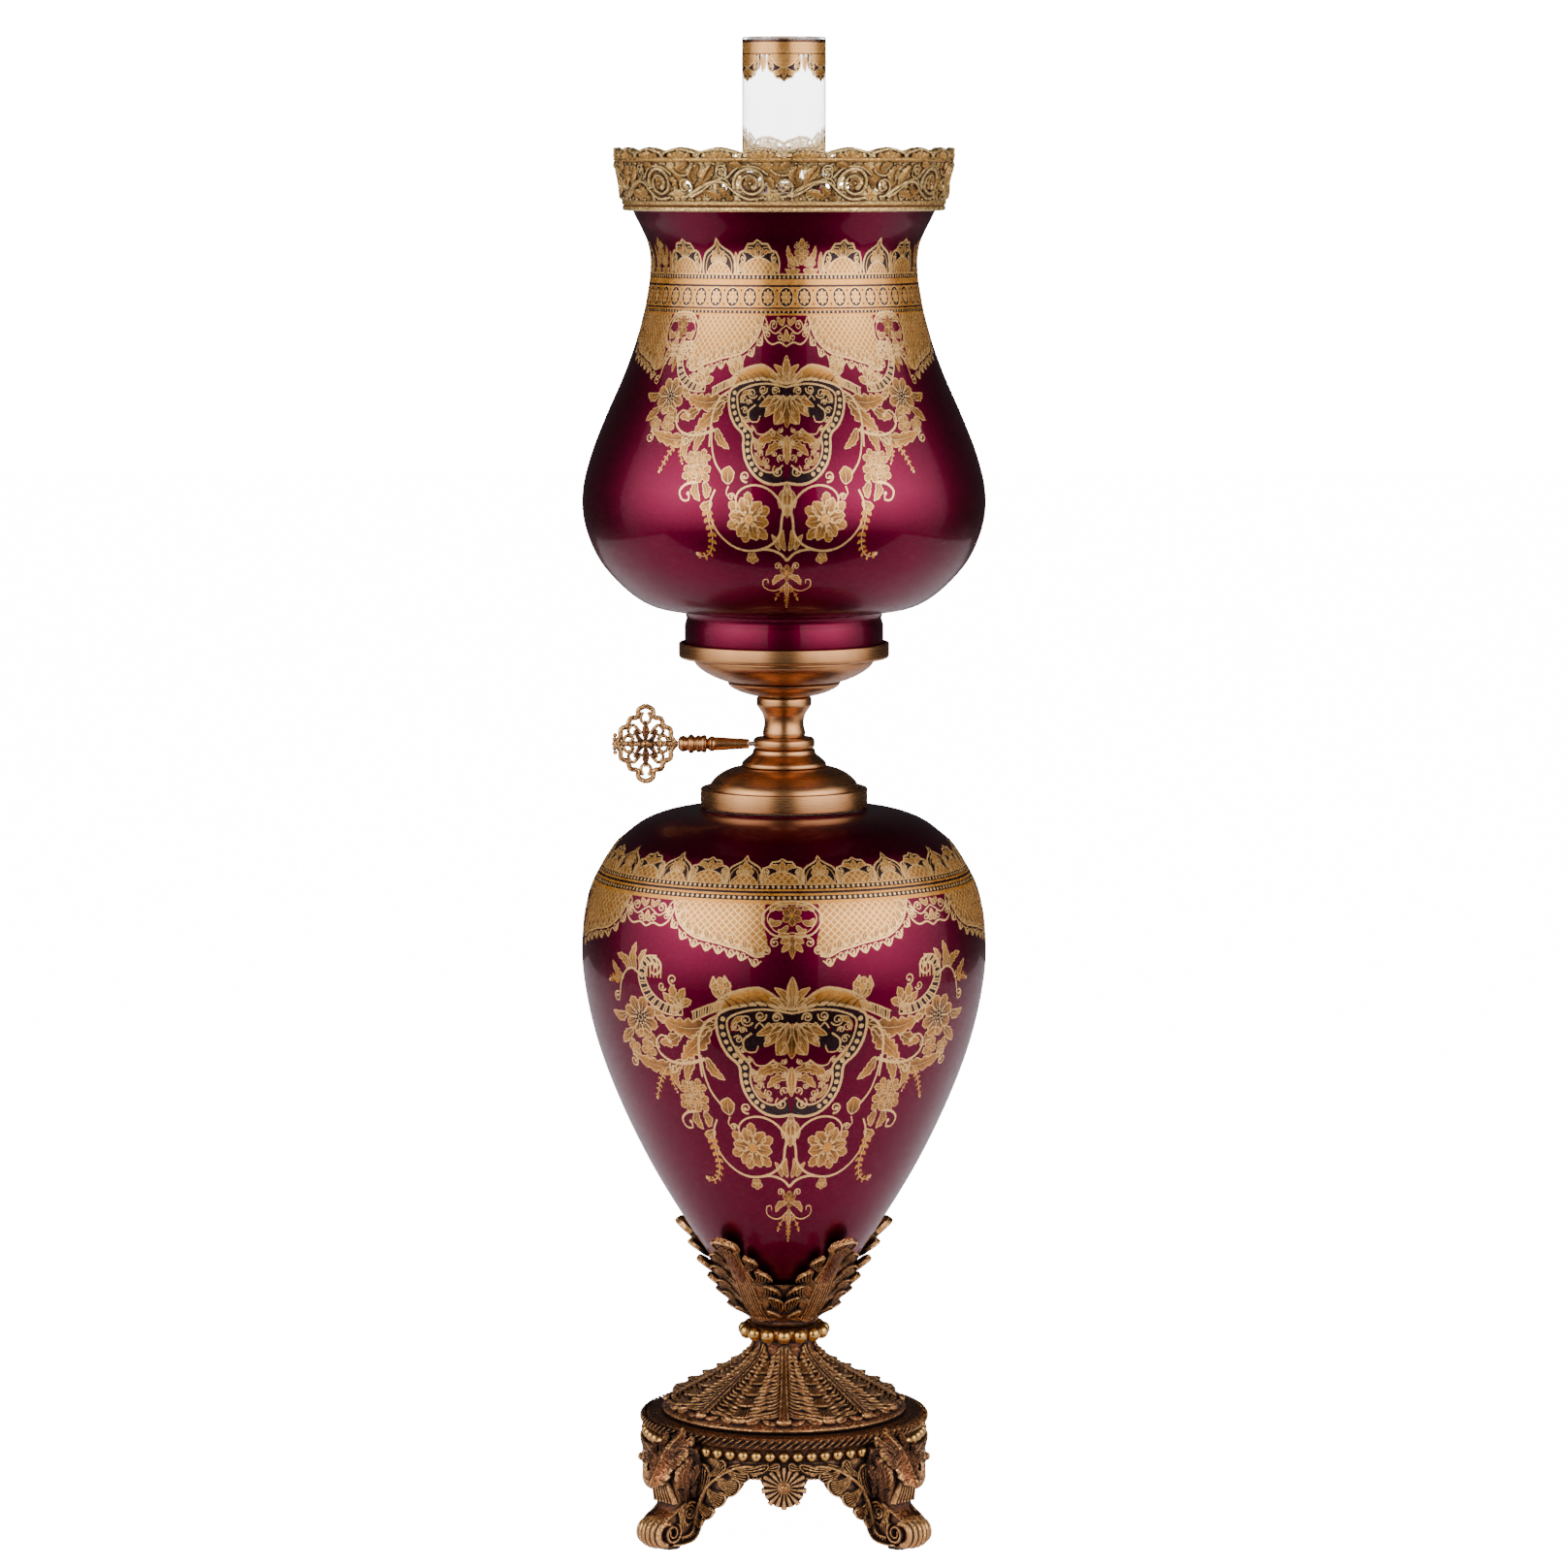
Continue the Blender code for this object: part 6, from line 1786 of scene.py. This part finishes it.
# key bow: pierced lozenge of C-scrolls round a lily, modelled on both faces
def buildKeyBow():
    bow = Casting(None)
    plate = (-70.3, -3.8, 403.8)
    for face in (-1, 1):
        bow.place = lambda x, s, h: np.stack([plate[0] + x, plate[1] + face * (h + 0.1), plate[2] + s],
            axis=1)
        for sx in (-1, 1):
            for ss in (-1, 1):
                def at(points):
                    return [(sx * p[0], ss * p[1], *p[2:]) for p in points]
                for parts in ((at([(0, 19.4), (3.6, 17.4), (4.2, 13.6), (7.8, 12.8), (9.2, 9.2),
                        (12.6, 7.4), (12.8, 3.8), (15.4, 0)]), 2.7, 1.5),
                        (at([(1.4, 16.2), (2.6, 13), (1.2, 10.4), (0, 11.6)]), 1.9, 1.2),
                        (at([(2.2, 5), (6.4, 9.6), (9, 6.4), (6.6, 4.2), (5.2, 6.2)]), 2.1, 1.4, 1.5, 1.1),
                        (at([(11.8, 1.4), (9.4, 4.2), (6.2, 2.6), (8, 1)]), 1.9, 1.2)):
                    castRibbon(bow, *parts, sink=0.1)
                for parts in (((sx * 5.4, ss * 6.2, 0.4), 1.1), ((sx * 8.3, ss * 11.2, 0.3), 1.2),
                        ((sx * 13.2, ss * 5.6, 0.3), 1.1)):
                    castBall(bow, *parts)
        for ss in (-1, 1):
            castBall(bow, (0, ss * 19, 0.2), 1.3)
            castLeaf(bow, [(0, ss * 1.5), (0, ss * 11)], 4, 1.3, 1, 0, 3, 0.1, sink=0.1)
        castRibbon(bow, [(-14.4, 0), (-6, 0), (6, 0), (16.4, 0)], 3, 1.7, 3.2, 1.7, sink=0.1)
        for sx in (-1, 1):
            castLeaf(bow, [(0, 0), (sx * 4, 3.4), (sx * 4.6, 7.4)], 2.6, 1.6, 1, 0, 3, 0.1, 0.6, sink=0.1)
            castLeaf(bow, [(0, 0), (sx * 4, -3.4), (sx * 4.6, -7.4)], 2.6, 1.6, 1, 0, 3, 0.1, 0.6, sink=0.1)
        castBall(bow, (0, 0, 0.8), 2.6, 1, 0.7)
        for index in range(5):
            castBall(bow, (-15.6 - 0.3 * (2 - abs(index - 2)), (index - 2) * 2.2, 0.2), 1.2)
    bow.make("keyBow", "wick_key", "bronze", ["key_bow"])


keyLook = {
    "keyShank": [(-39.4, 0), (-39.4, 2.4), (-38.2, 3.2), (-37.4, 3.9), (-36.2, 3.9), (-35.2, 3.4),
        (-34.4, 3.5), (-28, 3.1), (-22, 2.7), (-18.4, 2.6), (-17.6, 2.2), (-17.6, 1.5), (-26.3, 1.5),
        (-26.3, 0)],
    "keyFerrule": [(-53.8, 0), (-53.8, 2.4), (-52.9, 3.6), (-51.4, 4.3), (-49.6, 3.7), (-48.9, 3.4),
        (-48.2, 4.6), (-47.2, 5), (-46.2, 4.6), (-45.6, 3.7), (-44.8, 3.6), (-44.2, 4.3), (-43.2, 4.5),
        (-42.4, 4), (-41.8, 4), (-41, 4.6), (-40, 4.6), (-39.2, 3.6), (-39.2, 0)],
}


def buildKeyStem(look):
    for (name, outline), node in zip(look.items(), ("key_shank", "key_ferrule")):
        piece = turnOutline(name, [(r, x) for x, r in roundedOutline(outline, 0.3)], 48)
        piece.data.transform(Matrix.Translation((0, -3.8 * mm, 403.8 * mm)) @ Matrix.Rotation(math.pi / 2,
            4, "Y"))
        settle(piece, "wick_key", "copper", [node])


buildKeyBow()
buildKeyStem(keyLook)
print("key ready")


carriedNodes = {
    "steel": ["tie_rod", "base_lock_nut", "base_washer", "vase_inner_nut", "wick_spindle"],
    "felt": ["foot_pad_1", "foot_pad_2", "foot_pad_3", "foot_pad_4", "cup_washer", "vase_inner_washer"],
    "cork": ["mouth_gasket"], "cotton": ["wick"],
    "brass": ["lower_pipe_nut", "burner_pipe", "upper_pipe_nut", "air_basket", "chimney_gallery",
        "flame_deflector", "wick_tube", "feed_wheel_1", "feed_wheel_2"],
}


def paintCarriedNodes(groups):
    for finish, names in groups.items():
        for name in names:
            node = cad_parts[name]
            node.data.materials.clear()
            node.data.materials.append(finishes[finish])


paintCarriedNodes(carriedNodes)
